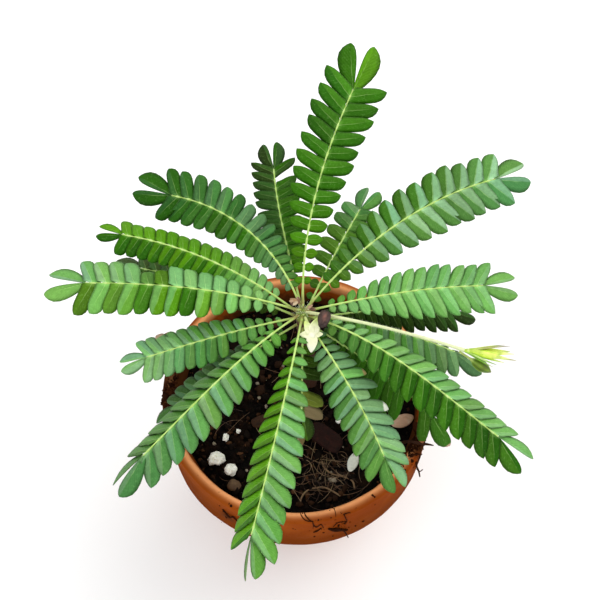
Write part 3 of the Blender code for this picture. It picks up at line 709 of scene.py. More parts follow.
def rib_finish(colours):
    """Midribs: pale yellow-green, browner by the crown, with fine lines."""
    f = Finish("leaf_rib", Specular_IOR_Level=0.4)
    grain = f.noise(1.2, 3, 0.6)
    colour = f.blend(tuple(colours.rib), tuple(colours.rib_light), grain.between(0.3, 0.75))
    colour = f.blend(colour, f.mark("stain", "Vector"), f.mark("stained") * grain.between(0.2, 0.6))
    return f.done(colour, 0.5 + grain * 0.15, f.bump(grain, 0.06))


def hair_finish():
    """Hairs: nearly white, a little yellow."""
    f = Finish("leaf_hair", Specular_IOR_Level=0.3)
    grain = f.noise(2.0, 2)
    return f.done(f.blend("#DDEBC0", "#F1F6E2", grain), 0.6 + grain * 0.1)


def marked_finish(name, deep, size, depth, roughness, second=None, spots=0.3, streak=None,
                  base=0.72, **fixed):
    """A natural skin: the colour marked on the mesh, blotched with a deeper one and a second
    one, and grained `size` millimetres wide and `depth` deep."""
    f = Finish(name, **fixed)
    blotch = f.noise(size * 3, 3, 0.6, stretch=streak)
    grain = f.noise(size, 3, 0.65, stretch=streak)
    colour = f.tinted(f.mark("shade", "Vector"), base + grain * 0.5)
    colour = f.blend(colour, deep, blotch.between(0.5, 0.72) * spots)
    if second is not None:
        colour = f.blend(colour, second, (1 - blotch).between(0.52, 0.75) * spots)
    return f.done(colour, roughness + grain * 0.15, f.bump(grain, depth))


# Leaves

def frond(number):
    """All the numbers of one leaf by name."""
    words = FROND_WORDS.split() + HABIT_WORDS.split()
    return dict(zip(words, FRONDS[number] + OWN_HABITS.get(number, HABIT)), number=number)


def along_midrib(leaf, shares):
    """Places and forward, left and up directions at shares of a midrib. Its slope changes
    evenly from the crown to the tip; its compass direction turns evenly and bows by
    4s(1 - s)."""
    steps = 80

    def heading_to(share):
        return compass_way(
            leaf["heading"] + leaf["turn"] * share + leaf["bow"] * 4 * share * (1 - share),
            mixed(leaf["slope"], leaf["tip_slope"], share))

    middles = (np.arange(steps) + 0.5) / steps
    run = np.cumsum(heading_to(middles) * leaf["length"] / steps, 0)
    run = np.vstack([np.zeros(3), run])
    start = CROWN + polar(STEM_RADIUS + LEAF_START, math.radians(leaf["heading"]), leaf["lift"])
    knots = np.linspace(0, 1, steps + 1)
    shares = np.asarray(shares, float)
    place = start + np.stack([np.interp(shares, knots, run[:, k]) for k in range(3)], -1)
    forward = heading_to(shares)
    return place, forward, *beside(forward)


def node_shares(leaf):
    """Where the pairs stand: the gaps widen evenly over the first half of them, stay, and
    change evenly to the last one."""
    at = np.linspace(0, 1, 201)
    gap = 1 - (1 - leaf["first_gap"]) * np.clip(1 - at / 0.5, 0, 1)
    gap -= (1 - leaf["last_gap"]) * np.clip((at - 0.6) / 0.4, 0, 1)
    run = np.concatenate([[0], np.cumsum((gap[1:] + gap[:-1]) / 2)])
    picked = np.linspace(0, 1, leaf["pairs"])
    shares = mixed(leaf["bare"], 1, np.interp(picked, at, run / run[-1]))
    shares[-1] -= (1 - PAIR_GAP) * (1 - shares[-2])
    return shares


def leaflet_sizes(leaf, shares):
    """Ripeness, length, width and angle to the midrib of each leaflet: the lengths rise from
    the first one's by 3r2 - 2r3 until they are ripe and change evenly from the middle on, and
    the widths follow the gaps."""
    gaps = np.diff(shares, prepend=2 * shares[0] - shares[1]) * leaf["length"]
    ramp = np.clip(shares / leaf["ripe"], 0, 1)
    length = leaf["leaflet"] * mixed(leaf["first"], 1, ease(ramp, 0, 1))
    length *= mixed(1, leaf["late"], np.clip((shares - 0.5) / 0.5, 0, 1))
    angle = mixed(leaf["open_angle"], leaf["tip_angle"], shares)
    width = leaf["fill"] * gaps * np.sin(np.radians(angle)) ** 0.25
    width = np.minimum(width * (1 - 0.32 * (1 - ramp) ** 1.4), 0.62 * length + 0.5)
    return ramp, length, width, angle


def leaflets_of(leaf, thickness, tilt):
    """The leaflets of one leaf. Each is a thin closed skin about a chord from its node to its
    tip: rings of eight points whose half widths follow the edge curves, low at the vein and
    drooping with the square of the distance out. Each is tilted so that its front edge passes
    over the next one's rear edge."""
    number, pairs = leaf["number"], leaf["pairs"]
    chance = np.random.default_rng(100 + number)
    shares = node_shares(leaf)
    place, forward, left, up = along_midrib(leaf, shares)
    ramp, length, width, angle = leaflet_sizes(leaf, shares)
    rings = LEAFLET_RINGS
    youth = (1 - ease(ramp, 0.2, 0.75))[:, None, None]
    edges = mixed(mixed(USUAL_EDGES, BLUNT_EDGES, BLUNT.get(number, 0.0)), YOUNG_EDGE, youth)
    edges[-1] = PAIR_EDGES
    front, rear = edges[:, 0, :, None], edges[:, 1, :, None]
    shapes = []
    for hand, name in ((1, "left"), (-1, "right")):
        from_tip = [(number, name, pairs - 1 - k) for k in range(pairs)]
        kept = [k for k, leaflet in enumerate(from_tip) if leaflet not in SHED]
        size = length * [STUNTED.get(leaflet, 1.0) for leaflet in from_tip]
        size *= 1 + 0.025 * chance.normal(size=pairs)
        wide = width * (1 + 0.03 * chance.normal(size=pairs))
        out = angle + 1.3 * chance.normal(size=pairs)
        # The terminal pair's chords start at the last node but aim from the midrib's tip
        reach = leaf["leaflet"] * leaf["pair_size"]
        wide[-1] = PAIR_WIDTH * reach
        aim = math.radians(leaf["pair_angle"] + hand * leaf["pair_twist"])
        ahead_of_it = reach * math.cos(aim) + (1 - shares[-1]) * leaf["length"]
        size[-1] = math.hypot(ahead_of_it, reach * math.sin(aim))
        out[-1] = math.degrees(math.atan2(reach * math.sin(aim), ahead_of_it))
        fold = leaf["fold"] + hand * leaf["lean"] + 0.9 * chance.normal(size=pairs)
        fold[-1] += EDGEWISE.get((number, name), 0.0)
        out = np.radians(out)
        across = turned(np.radians(fold), left * hand, up)
        along, ahead = turned(out, forward, across), turned(out, -across, forward)
        normal = np.cross(along, ahead) * -hand
        ahead, normal = turned(tilt, ahead, normal), turned(tilt, normal, -ahead)

        long = size[:, None, None]
        spread = np.where(ACROSS >= 0, front, rear) * ACROSS * wide[:, None, None]
        shear = np.clip(1 / np.tan(out), -0.6, 1.2)
        shear[-1] = 0
        near = (1 - ease(rings, 0.0, 0.5))[:, None]
        far = rings[:, None] * long + near * (0.12 + spread * shear[:, None, None])
        droop = 0.10 + 0.012 * chance.normal(size=pairs)
        height = (0.16 * np.abs(spread) - droop[:, None, None] * far**2 / long
                  + 0.5 * thickness * FACE * -hand)
        points = place[:, None, None] + sum(
            way[:, None, None] * amount[..., None]
            for way, amount in ((along, far), (ahead, spread), (normal, height)))
        tip = place + along * size[:, None] - normal * (droop * size)[:, None]
        body = np.concatenate([points.reshape(pairs, -1, 3), np.stack([place, tip], 1)], 1)

        def per_point(ring_values, end_values):
            """One value for each point, from those of the rings and of the two ends."""
            whole = np.broadcast_to(ring_values, (pairs, len(rings), len(ACROSS)))
            ends = np.broadcast_to(end_values, (pairs, 2))
            return np.concatenate([whole.reshape(pairs, -1), ends], 1)[kept].ravel()

        dry, dry_tone = dried_marks(from_tip)
        rear_tone, front_tone = leaflet_tones(leaf, shares, from_tip, chance)
        tones = dict(rear=rear_tone, front=front_tone, dry_tone=dry_tone)
        shapes.append(repeated(
            body[kept], *skin(len(rings), len(ACROSS)), 0,
            across=per_point(ACROSS, 0.0),
            along=per_point(rings[:, None], [0.0, 1.0]),
            under=per_point(FACE * hand > 0, 0.0),
            dry=per_point(dry[:, :-1, None], dry[:, -1:] * [0.0, 1.0]),
            **{word: np.repeat(tone[kept], body.shape[1], 0) for word, tone in tones.items()}))
    return shapes


def leaflet_tones(leaf, shares, from_tip, chance):
    """Each leaflet's rear and front green: the leaf's greens, with their painted sheen and painted
    shade, from the young ones' by the crown, a little brighter or duller from one to the next."""
    words = TONES[leaf["number"]][0 if from_tip[0][1] == "left" else 1].split()
    young, rear, front, end_rear, end_front = (GREENS[word] for word in words)
    ripe, old = ease(shares, 0.12, 0.5)[:, None], ease(shares, 0.6, 0.95)[:, None]
    rear = mixed(mixed(young, rear, ripe), end_rear, old)
    front = mixed(mixed(young, front, ripe), end_front, old)
    for k, leaflet in enumerate(from_tip):
        if leaflet in ODD_ONES:
            green = GREENS[ODD_ONES[leaflet]]
            # The front half is made paler than the rear: partly the leaflet's own tone and partly a
            # painted sheen
            rear[k], front[k] = green * 0.9, green * 1.15
    glow = 1 + 0.09 * chance.normal(size=(len(from_tip), 1))
    warm = 1 + 0.05 * chance.normal(size=(len(from_tip), 1)) * [1.0, 0.0, -1.0]
    return np.clip(rear * glow * warm, 0, 1), np.clip(front * glow * warm, 0, 1)


def dried_marks(from_tip):
    """How dry each ring and the tip of each leaflet is, and the dry colour: only the listed
    ones are."""
    far = np.append(LEAFLET_RINGS, 1.0)
    dry = np.zeros((len(from_tip), len(far)))
    tone = np.tile(GREENS["rust"], (len(from_tip), 1))
    for k, leaflet in enumerate(from_tip):
        if leaflet in DRIED:
            word, share = DRIED[leaflet]
            tone[k] = GREENS[word]
            dry[k] = ease(far, 1 - share * 1.3, 1 - share * 0.6)
    return dry, tone


def midrib_of(leaf):
    """The midrib: a tapering rod from inside the stem to the terminal pair, thicker at its
    foot and a little at each node."""
    nodes = node_shares(leaf)
    shares = np.linspace(0, nodes[-1], 60)
    place, forward, _, _ = along_midrib(leaf, shares)
    back = np.linspace(ROOT_REACH, 0.7, 3)
    root = place[0] - forward[0] * back[:, None] * [1, 1, 0.3]
    near = np.abs(shares[:, None] - nodes[None]).min(1) * leaf["length"]
    radius = 0.40 - 0.13 * shares + 0.16 * np.exp(-shares / 0.035)
    radius += 0.12 * np.exp(-(near / 0.7) ** 2)
    stained = np.concatenate([[1, 1, 1], np.exp(-shares / 0.05)])
    sides = 8
    return rod(np.concatenate([root, place]), np.concatenate([[0.46, 0.52, 0.55], radius]),
               sides, 1, stain="#8A7A3C",
               stained=np.concatenate([np.repeat(stained, sides), [1, 0]]))


def node_hairs(leaf):
    """Small stars of pale hairs at the nodes, above the midrib."""
    chance = np.random.default_rng(300 + leaf["number"])
    shares = node_shares(leaf)
    place, forward, left, up = along_midrib(leaf, shares)
    each = 5
    turn = math.tau * (np.arange(each) + chance.uniform(0, 1, (len(shares), each))) / each
    ways = turned(turn, forward[:, None], left[:, None])
    ways = ways + up[:, None] * chance.uniform(0.15, 0.7, (len(shares), each, 1))
    feet = np.repeat(place + up * 0.28, each, 0)
    lengths = chance.uniform(0.45, 1.0, (len(shares), each))
    return spikes(feet, ways.reshape(-1, 3), lengths.ravel(), 0.04, 2)


# Stem, crown and dirt

def soil_height(x, y):
    """The soil's surface: long waves, short ripples and a mound round the stem."""
    waves = 0.9 * np.sin(x / 7.5 + 0.6) * np.cos(y / 8.5) + 0.5 * np.sin((x + y) / 5.2)
    away = np.hypot(x - STEM_FOOT[0], y - STEM_FOOT[1])
    return POT_HEIGHT - SOIL_DEPTH + waves + 2.0 * np.exp(-((away / 12.0) ** 2))


def wall_radius(height):
    """The pot's inner radius at a height."""
    neck, lip = POT_HEIGHT - NECK_DEPTH, POT_HEIGHT - LIP_ROUND
    return np.interp(height, [FLOOR_THICKNESS, neck, lip], [FLOOR_RADIUS, NECK_RADIUS, LIP_RADIUS])


def node_middle(name):
    """The middle and the half sizes of a CAD node's box, in millimetres from the pot's axis."""
    low, high = (np.array(corner) / MM - POT_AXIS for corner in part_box(name))
    return (low + high) / 2, (high - low) / 2


def stem_shape():
    """The woody stem: a rod up the CAD's route whose radius is roughened by old leaf scars."""
    foot = np.array([*STEM_FOOT, soil_height(*STEM_FOOT)])
    top = CROWN + UP * STEM_TOP
    path = [foot - UP * 11.5, foot - UP * 4]
    path += [mixed(foot, top, share) + [0, bend, 0] for share, bend, _ in STEM_KNOTS]
    swell = [1.0, 1.1] + [thick for _, _, thick in STEM_KNOTS]
    line = smooth_path(path, 90)
    t = np.linspace(0, 1, len(line))
    radii = STEM_RADIUS * 0.96 * np.interp(t, np.linspace(0, 1, len(swell)), swell)
    stem = rod(line, radii, STEM_SIDES, 0, upright=(1, 0, 0))
    middle = np.concatenate([np.repeat(line, STEM_SIDES, 0), line[[0, -1]]])
    rings = np.sin(stem.points[:, 2] / 0.75) * wobble(stem.points, 5, 42)
    scars = 1 + 0.07 * wobble(stem.points, 2.2, 41) + 0.05 * rings
    stem.points = mixed(middle, stem.points, scars[:, None])
    rise = ease(stem.points[:, 2], CROWN[2] - 4, CROWN[2] - 1)[:, None]
    stem.marks["shade"] = mixed(tint("#4C2A16"), tint("#7E9238"), rise)
    return stem


def crown_shoots():
    """Young folded shoots and pale hairs that fill the middle of the crown: thin rods that rise
    and lean outwards."""
    chance = np.random.default_rng(43)
    shoots, count = 13, 150
    shades = ("#9DB94C", "#B9C878", "#7F9A3C")
    t = np.linspace(0, 1, 9)
    parts = []
    for k in range(shoots):
        out = polar(1, math.tau * k / shoots + chance.uniform(-0.2, 0.2))
        length = chance.uniform(2.2, 3.6)
        path = CROWN - UP * 0.4 + out * (0.5 + 1.7 * t**1.4)[:, None]
        path = path + UP * length * (t * (1 - 0.25 * t))[:, None]
        parts.append(rod(path, 0.55 * plump(t, 0.12, 0.84, 0.8), 7, 0, flat=0.7,
                         shade=shades[k % len(shades)]))
    out = polar(1, chance.uniform(0, math.tau, count))
    feet = CROWN + out * chance.uniform(0.6, 3.0, (count, 1))
    feet = feet + UP * chance.uniform(-0.5, 3.6, (count, 1))
    ways = out + UP * chance.uniform(0.1, 1.4, (count, 1))
    parts.append(spikes(feet, ways, chance.uniform(0.8, 2.0, count), 0.05, 1))
    return parts


def valve_shape(centre, way, normal, length, seed, colour, end_colour):
    """One boat-shaped valve of the open capsule: rings along its length whose section is a
    shallow cup, wide at a third and pointed at the end."""
    around = 12
    side = np.cross(normal, way)
    far = np.linspace(0.03, 0.985, 14)
    width = length * 0.30 * plump(far**0.62, 0, 1, 0.75) + 0.12
    turn = full_turn(around)
    rise = 0.09 * length * far**1.5
    thick = 0.55 * (1 - 0.6 * far)
    spread = width[:, None] * np.cos(turn)
    cup = 0.9 * np.abs(spread) ** 1.6 / (1 + np.abs(spread)) + thick[:, None] * np.sin(turn)
    points = (centre + way * (far * length)[:, None, None] + side * spread[..., None]
              + normal * (cup + rise[:, None])[..., None])
    ends = np.stack([centre, centre + way * length + normal * rise[-1]])
    body = np.concatenate([points.reshape(-1, 3), ends])
    fade = np.concatenate([np.repeat(far, around), [0, 1]])[:, None]
    body = body + 0.12 * wobble(body, 1.2, seed)[:, None] * normal
    return Shape(body, *skin(len(far), around),
                 shade=mixed(colour, end_colour, ease(fade, 0.35, 1.0)))


def on_rim(compass, over):
    """A place on the collar: `over` runs 0 to 1 across its top and 1 to 2 down its side, round
    its two edges, and below 0 down its inside."""
    over = np.asarray(over, float)
    down = np.clip(over - 1, 0, 1)
    radius = mixed(LIP_RADIUS, RIM_RADIUS, np.clip(over, 0, 1))
    radius = radius - (RIM_RADIUS - COLLAR_FOOT_RADIUS) * down
    height = POT_HEIGHT - COLLAR_HEIGHT * down + RIM_DROP * np.clip(over, -1, 0)
    for middle, way in ((LIP_RADIUS + LIP_ROUND, -1), (RIM_RADIUS - LIP_ROUND, 1)):
        aside = np.clip((radius - middle) * way, 0, None)
        above = np.clip(height - POT_HEIGHT + LIP_ROUND, 0, None)
        shrink = LIP_ROUND / np.maximum(np.hypot(aside, above), LIP_ROUND)
        radius = np.where(aside > 0, middle + way * aside * shrink, radius)
        height = np.where(aside * above > 0, POT_HEIGHT - LIP_ROUND + above * shrink, height)
    return polar(radius, np.radians(compass), height)


# Root fibres stuck on the rim: half thickness, then knots of compass direction, place over the
# rim and standing off it
RIM_FIBRES = (
    (0.2, (-88.8, -0.4, 0.2), (-88.4, 0.3, 0.5), (-86.6, 0.75, 0.8), (-84, 1.0, 0.6),
     (-83.6, 1.2, 0.4)),
    (0.26, (-87.2, -0.2, 0.2), (-86.6, 0.3, 0.8), (-85.2, 0.7, 0.9), (-83.8, 1.02, 0.4)),
    (0.2, (-84, 1.05, 0.3), (-82.4, 1.2, 0.6), (-80.6, 1.12, 0.5), (-79.4, 1.3, 0.3)),
    (0.3, (-83.4, 1.42, 0.2), (-81.8, 1.36, 0.5), (-80.4, 1.28, 0.3)),
    (0.22, (-68.4, 1.02, 0.3), (-71.2, 0.9, 0.7), (-70.6, 1.1, 0.8), (-69.8, 1.26, 0.7),
     (-73.4, 1.2, 0.6), (-75.4, 1.34, 0.3)),
    (0.6, (-77.2, 1.36, 0.4), (-75, 1.46, 0.9), (-72, 1.52, 1.1), (-69.4, 1.62, 0.9)),
    (0.5, (-76.6, 1.42, 0.4), (-74, 1.42, 1.2), (-71, 1.56, 1.2), (-69, 1.58, 1.4)),
    (0.3, (-71.6, 1.5, 0.8), (-70, 1.66, 1.6), (-68.6, 1.86, 2.6)),
    (0.14, (-74.7, -0.2, 0.1), (-74.2, 0.4, 0.12), (-74.6, 1.2, 0.1)),
    (0.3, (-30, 0.2, 0.4), (-27, 0.6, 0.9), (-24, 0.9, 1.0), (-22, 0.7, 0.6)),
    (0.34, (-33, 0.3, 0.5), (-30.5, 0.8, 1.0), (-29.8, 1.1, 1.2), (-30.4, 1.4, 0.6)),
    (0.42, (-32.4, 1.1, 0.5), (-32, 1.25, 1.8), (-30.8, 1.45, 3.6), (-29.4, 1.7, 5.2)),
    (0.26, (-29.8, 1.5, 1.6), (-28.6, 1.62, 3.6), (-26.6, 1.66, 5.0)),
    (0.34, (-122, 1.3, 0.4), (-119, 1.42, 1.0), (-117, 1.35, 0.8), (-115, 1.5, 0.5)),
)
# Single crumbs on the rim: compass direction, place over the rim, size
RIM_SPOTS = ((-91.8, 1.23, 0.5), (-83, 1.6, 0.5), (-57, 0.55, 0.6), (-56.6, 0.75, 0.5),
             (-61.5, 1.6, 0.6), (-65, 1.65, 0.5), (-66, 0.9, 0.3), (-48, 0.5, 0.4),
             (-75, 1.75, 0.3), (-100, 0.2, 0.4))
# Groups of crumbs there: compass direction, place over the rim, spread of both, number, size
RIM_CRUMBS = (
    (-72, 1.3, 2.2, 0.14, 40, 0.32), (-82, 1.2, 1.6, 0.12, 26, 0.26),
    (-26, 0.0, 5.0, 0.42, 130, 0.6), (-25, 0.6, 7.0, 0.5, 110, 0.3),
    (-120, 1.4, 3.0, 0.25, 22, 0.34), (-75, 0.6, 16.0, 0.5, 26, 0.2),
    (-176, 0.2, 8.0, 0.4, 280, 0.6))
# Dirt on the clay: place, size, strength
CLAY_DIRT = (((16, -51.5, 97), 3.5, 0.30), ((49, -24, 97), 8, 0.5), ((-28, -47.5, 80), 5, 0.7),
             ((-54, 3, 90), 12, 0.35), ((-51, -7, 97), 9, 1.2), ((-50, 10, 97), 10, 1.2))


def rim_dirt():
    """Root fibres and crumbs of mix stuck on the collar, along paths over its surface. The
    fibres are thickest a third of the way along."""
    chance = np.random.default_rng(31)
    dark = tint("#30160A")
    inside = UP * 85
    parts = []
    for widest, *knots in RIM_FIBRES:
        compass, over, off = smooth_path(knots, 26).T
        place = on_rim(compass, over)
        t = np.linspace(0, 1, len(place))
        radii = widest * (1 - 0.6 * np.abs(t - 0.35) ** 1.5)
        parts.append(rod(place + unit(place - inside) * off[:, None] * 0.6, radii, 6, 1, shade=dark))
    spots = list(RIM_SPOTS)
    for centre, over, spread, reach, count, size in RIM_CRUMBS:
        spots += [(centre + spread * chance.normal(), over + reach * chance.normal(),
                   size * math.exp(0.45 * chance.normal())) for _ in range(count)]
    compass, over, sizes = np.array(spots).T
    shade = dark * chance.uniform(0.4, 1.9, (len(spots), 1))
    parts.append(scattered(on_rim(compass, over), sizes, 32, 0.3, 1, shade=shade))
    return parts


def pot_profile():
    """The pot's section as a loop of (radius, height) points: round the lip, down the collar
    and body, under the base, up through the drain hole and up the inside."""
    top, foot, neck = POT_HEIGHT - LIP_ROUND, POT_HEIGHT - COLLAR_HEIGHT, POT_HEIGHT - NECK_DEPTH

    def edge_round(radius, start, end):
        return [radius, top] + LIP_ROUND * polar(1, np.radians(np.linspace(start, end, 7)))[:, :2]

    return np.concatenate([
        edge_round(LIP_RADIUS + LIP_ROUND, 180, 90),
        edge_round(RIM_RADIUS - LIP_ROUND, 90, 0),
        np.linspace((RIM_RADIUS, top), (COLLAR_FOOT_RADIUS, foot + 2), 12)[1:],
        [(COLLAR_FOOT_RADIUS - 0.25, foot + 1.1), (COLLAR_FOOT_RADIUS - 0.8, foot + 0.35),
         (COLLAR_FOOT_RADIUS - 1.6, foot), (SHOULDER_RADIUS + 0.8, foot - 0.3)],
        np.linspace((SHOULDER_RADIUS, foot - 1.0), (BASE_RADIUS, BASE_EDGE), 22),
        [(BASE_RADIUS - 0.4, 0.45), (BASE_RADIUS - BASE_EDGE, 0), (BASE_HOLLOW, 0),
         (DRAIN_RADIUS + SMALL_EDGE, 0), (DRAIN_RADIUS, SMALL_EDGE),
         (DRAIN_RADIUS, FLOOR_THICKNESS - SMALL_EDGE),
         (DRAIN_RADIUS + SMALL_EDGE, FLOOR_THICKNESS), (FLOOR_RADIUS - 1.5, FLOOR_THICKNESS)],
        np.linspace((FLOOR_RADIUS, FLOOR_THICKNESS + SMALL_EDGE), (NECK_RADIUS, neck), 12),
        np.linspace((NECK_RADIUS, neck), (LIP_RADIUS, top), 12)[1:-1]])


def mark_pot(pot):
    """Marks on the clay: dirt in patches, inside above the soil, at the foot and under the
    collar; painted shade down the outside of the collar, over its top's outer edge and on the
    left, fading down the body; a painted highlight along the lip; and a pale bloom at the foot."""
    x, y, height = pot.points.T
    radius, compass = np.hypot(x, y), np.degrees(np.arctan2(y, x))
    foot = POT_HEIGHT - COLLAR_HEIGHT
    outer = radius > wall_radius(height) + 1.0
    dirt = 0.75 * (~outer & (height > 8)) * ease(-height, -99, -86)
    dirt += 0.42 * ease(compass, -36, -23) * ease(-compass, 14, 24) * ease(height, 86, 96)
    for place, size, strength in CLAY_DIRT:
        dirt += strength * np.exp(-((pot.points - place) ** 2).sum(1) / size**2)
    dirt += 0.35 * ease(-height, -14, 0) + 0.25 * ease(-np.abs(height - foot), -4, 0)
    pot.marks["dirt"] = np.clip(dirt, 0, 1.2)
    # Painted shade: darker over the outer part of the collar's top, down the collar towards its foot
    # and on the left side, away from the light, fading again down the body
    painted_shade = 0.25 * ease(radius, 52.5, 55.3) + 0.62 * ease(-height, -97, -66)
    painted_shade -= 0.45 * ease(-height, -66, -18)
    painted_shade += 0.3 * ease(-x, 5, 45) * ease(height, 60, 90)
    pot.marks["painted_shade"] = np.clip(painted_shade, 0, 1) * np.where(
        outer & (height < 95), 1.0, ease(radius, 51.5, 54))
    # Painted highlight along the rounded top of the lip
    pot.marks["lip_highlight"] = np.exp(-((radius - 52.0) / 1.5) ** 2) * (height > 95)
    pot.marks["bloom"] = 0.5 * ease(-height, -30, 0) * outer


# Settings

def colour_setting(name, description, code):
    """A colour that a user may change."""
    return FloatVectorProperty(name=name, description=description, size=3, subtype="COLOR",
                               default=tuple(tint(code)), min=0.0, max=1.0)


class PotSettings(bpy.types.PropertyGroup):
    """Sizes and colours of the clay pot."""

    ripple: FloatProperty(
        name="Throwing ripple", description="Depth of the marks left by the potter's fingers",
        default=0.00012, min=0.0, unit="LENGTH")
    clay: colour_setting("Clay", "Colour of the fired clay", "#8C3D0C")
    clay_light: colour_setting("Light clay", "Colour of the clay's paler clouds", "#A9541A")


class MixSettings(bpy.types.PropertyGroup):
    """The potting mix."""

    crumbs: IntProperty(
        name="Crumbs", description="Number of loose crumbs on the surface", default=1500, min=0)
    crumb_size: FloatProperty(
        name="Crumb size", description="Radius of a usual crumb", default=0.0008, min=0.0,
        unit="LENGTH")


class LeafSettings(bpy.types.PropertyGroup):
    """The leaves."""

    thickness: FloatProperty(
        name="Leaflet thickness", description="Thickness of a leaflet at its vein",
        default=0.0003, min=0.00005, unit="LENGTH")
    tilt: FloatProperty(
        name="Leaflet tilt", description="Turn that lifts each leaflet's front edge over the next",
        default=math.radians(11), subtype="ANGLE")
    rib: colour_setting("Midrib", "Colour of the midribs", "#A9CE5E")
    rib_light: colour_setting("Light midrib", "Colour of the midribs' paler clouds", "#CBE78E")


class StageSettings(bpy.types.PropertyGroup):
    """Light and floor of the studio."""

    air: FloatProperty(
        name="Air light", description="Strength of the light from all round", default=0.92,
        min=0.0)
    key: FloatProperty(
        name="Key light", description="Power of the large soft light", default=8.0, min=0.0,
        unit="POWER")
    floor: FloatVectorProperty(
        name="Floor", description="Colour of the plain floor", size=3, subtype="COLOR",
        default=(0.97, 0.97, 0.97), min=0.0, max=1.0)


# Makers

class MakePot(bpy.types.Operator):
    """Turn the clay pot with its collar, marks and dirt"""

    bl_idname = "biophytum.make_pot"
    bl_label = "Make Pot"

    def execute(self, context):
        settings = context.scene.biophytum_pot
        ripple = settings.ripple / MM

        def push(points):
            """Finger ripples and wobbles of the clay, none at the foot."""
            height = points[..., 2]
            rings = np.sin(height * 1.9 + 0.8 * wobble(points, 60, 5))
            shift = ripple * rings + 0.10 * wobble(points, 34, 6) + 0.05 * wobble(points, 9, 7)
            lift = 0.16 * wobble(points, 30, 8) * ease(height, 60, POT_HEIGHT)
            low = ease(height, 0.0, 3.0)
            return shift * low, lift * low

        pot = lathe(pot_profile(), POT_SECTORS, push)
        mark_pot(pot)
        dirt = marked_finish("rim_dirt", "#120A06", 0.8, 0.1, 0.8, Specular_IOR_Level=0.02)
        grow("clay_pot", joined([pot] + rim_dirt()), [clay_finish(settings), dirt],
             "pot")
        return {"FINISHED"}


class FillPot(bpy.types.Operator):
    """Fill the pot with potting mix, its crumbs and fine fibres"""

    bl_idname = "biophytum.fill_pot"
    bl_label = "Fill Pot"

    def execute(self, context):
        settings = context.scene.biophytum_mix
        chance = np.random.default_rng(11)
        edge = wall_radius(POT_HEIGHT - SOIL_DEPTH) + 0.2
        parts = [self.filling(edge), self.crumbs(chance, edge, settings)]
        parts += self.fibres(chance, edge)
        fibre_finish = marked_finish("fine_roots", "#2A1A10", 1.5, 0.05, 0.7)
        grow("potting_mix", joined(parts), [soil_finish(), crumb_finish(), fibre_finish],
             "soil")
        return {"FINISHED"}

    def filling(self, edge):
        """The body of the mix: its rough surface in rings about the middle, then rings down
        the pot's wall to its floor."""
        way = full_turn(SOIL_SECTORS)
        share = np.linspace(0.01, 1, SOIL_RINGS)[:, None]
        flat = polar(edge * share, way)
        x, y = flat[..., 0], flat[..., 1]
        rough = sum(depth * wobble(flat, size, seed)
                    for depth, size, seed in ((0.45, 4.5, 12), (0.35, 2.0, 13), (0.2, 1.1, 14)))
        rough += 0.9 * ease(share, 0.9, 1.0) * wobble(flat, 12, 15)
        surface = np.stack([x, y, soil_height(x, y) + rough], -1)
        bottom = FLOOR_THICKNESS + 0.4
        lower = [polar(wall_radius(height) - 0.1, way, height)
                 for height in (bottom, 30.0, 60.0, 76.0)]
        rings = np.concatenate([lower, surface[::-1]])
        body = np.concatenate([rings.reshape(-1, 3), [UP * bottom, surface[0].mean(0)]])
        return Shape(body, *skin(len(rings), SOIL_SECTORS))

    def crumbs(self, chance, edge, settings):
        """Loose crumbs on the surface, most of them dark."""
        count = settings.crumbs
        radius = edge * np.sqrt(chance.uniform(0, 0.99, count))
        places = polar(radius, chance.uniform(0, math.tau, count))
        size = settings.crumb_size / MM * np.exp(chance.normal(0, 0.5, count))
        places[:, 2] = soil_height(places[:, 0], places[:, 1]) + 0.35 * size
        kinds = np.searchsorted([0.55, 0.85, 0.965], chance.uniform(0, 1, count), "right")
        shade = np.array([tint(code) for code in ("#150D09", "#2E1C11", "#4F3320", "#9C8E7C")])
        return scattered(places, size, 16, 0.28, 1,
                         shade=shade[kinds] * chance.uniform(0.7, 1.3, (count, 1)))

    def fibres(self, chance, edge):
        """Fine roots that lie on the surface in bends, most of them at the front."""
        fibres = []
        t = np.linspace(0, 1, 12)
        for k in range(FIBRES):
            at = chance.uniform(0, math.tau)
            out = edge * math.sqrt(chance.uniform(0, 0.92))
            if k < FRONT_FIBRES:
                at, out = math.radians(chance.uniform(-88, -50)), chance.uniform(24, 47)
            heading = chance.uniform(0, math.tau)
            length = chance.uniform(7, 19)
            bend = heading + chance.normal(0, 1.3) * t
            run = np.cumsum(polar(1, bend) * length / len(t), 0) + polar(out, at)
            x, y, _ = run.T
            if np.hypot(x, y).max() >= edge - 0.6:
                continue
            lift = 0.8 + 1.3 * np.sin(np.pi * t) * chance.uniform(0.2, 1)
            path = np.column_stack([x, y, soil_height(x, y) + lift])
            tone = ("#6E5138", "#3D291B", "#8C7355")[k % 3]
            fibres.append(rod(path, 0.13 - 0.06 * t, 5, 2, shade=tone))
        return fibres


class GrowStem(bpy.types.Operator):
    """Grow the short woody stem"""

    bl_idname = "biophytum.grow_stem"
    bl_label = "Grow Stem"

    def execute(self, context):
        bark = marked_finish("stem_bark", "#2A160C", 0.9, 0.35, 0.7, "#7A5A3A", 0.5, (1, 1, 0.35))
        grow("woody_stem", joined([stem_shape()] + crown_shoots()), [bark, hair_finish()],
             "stem")
        return {"FINISHED"}


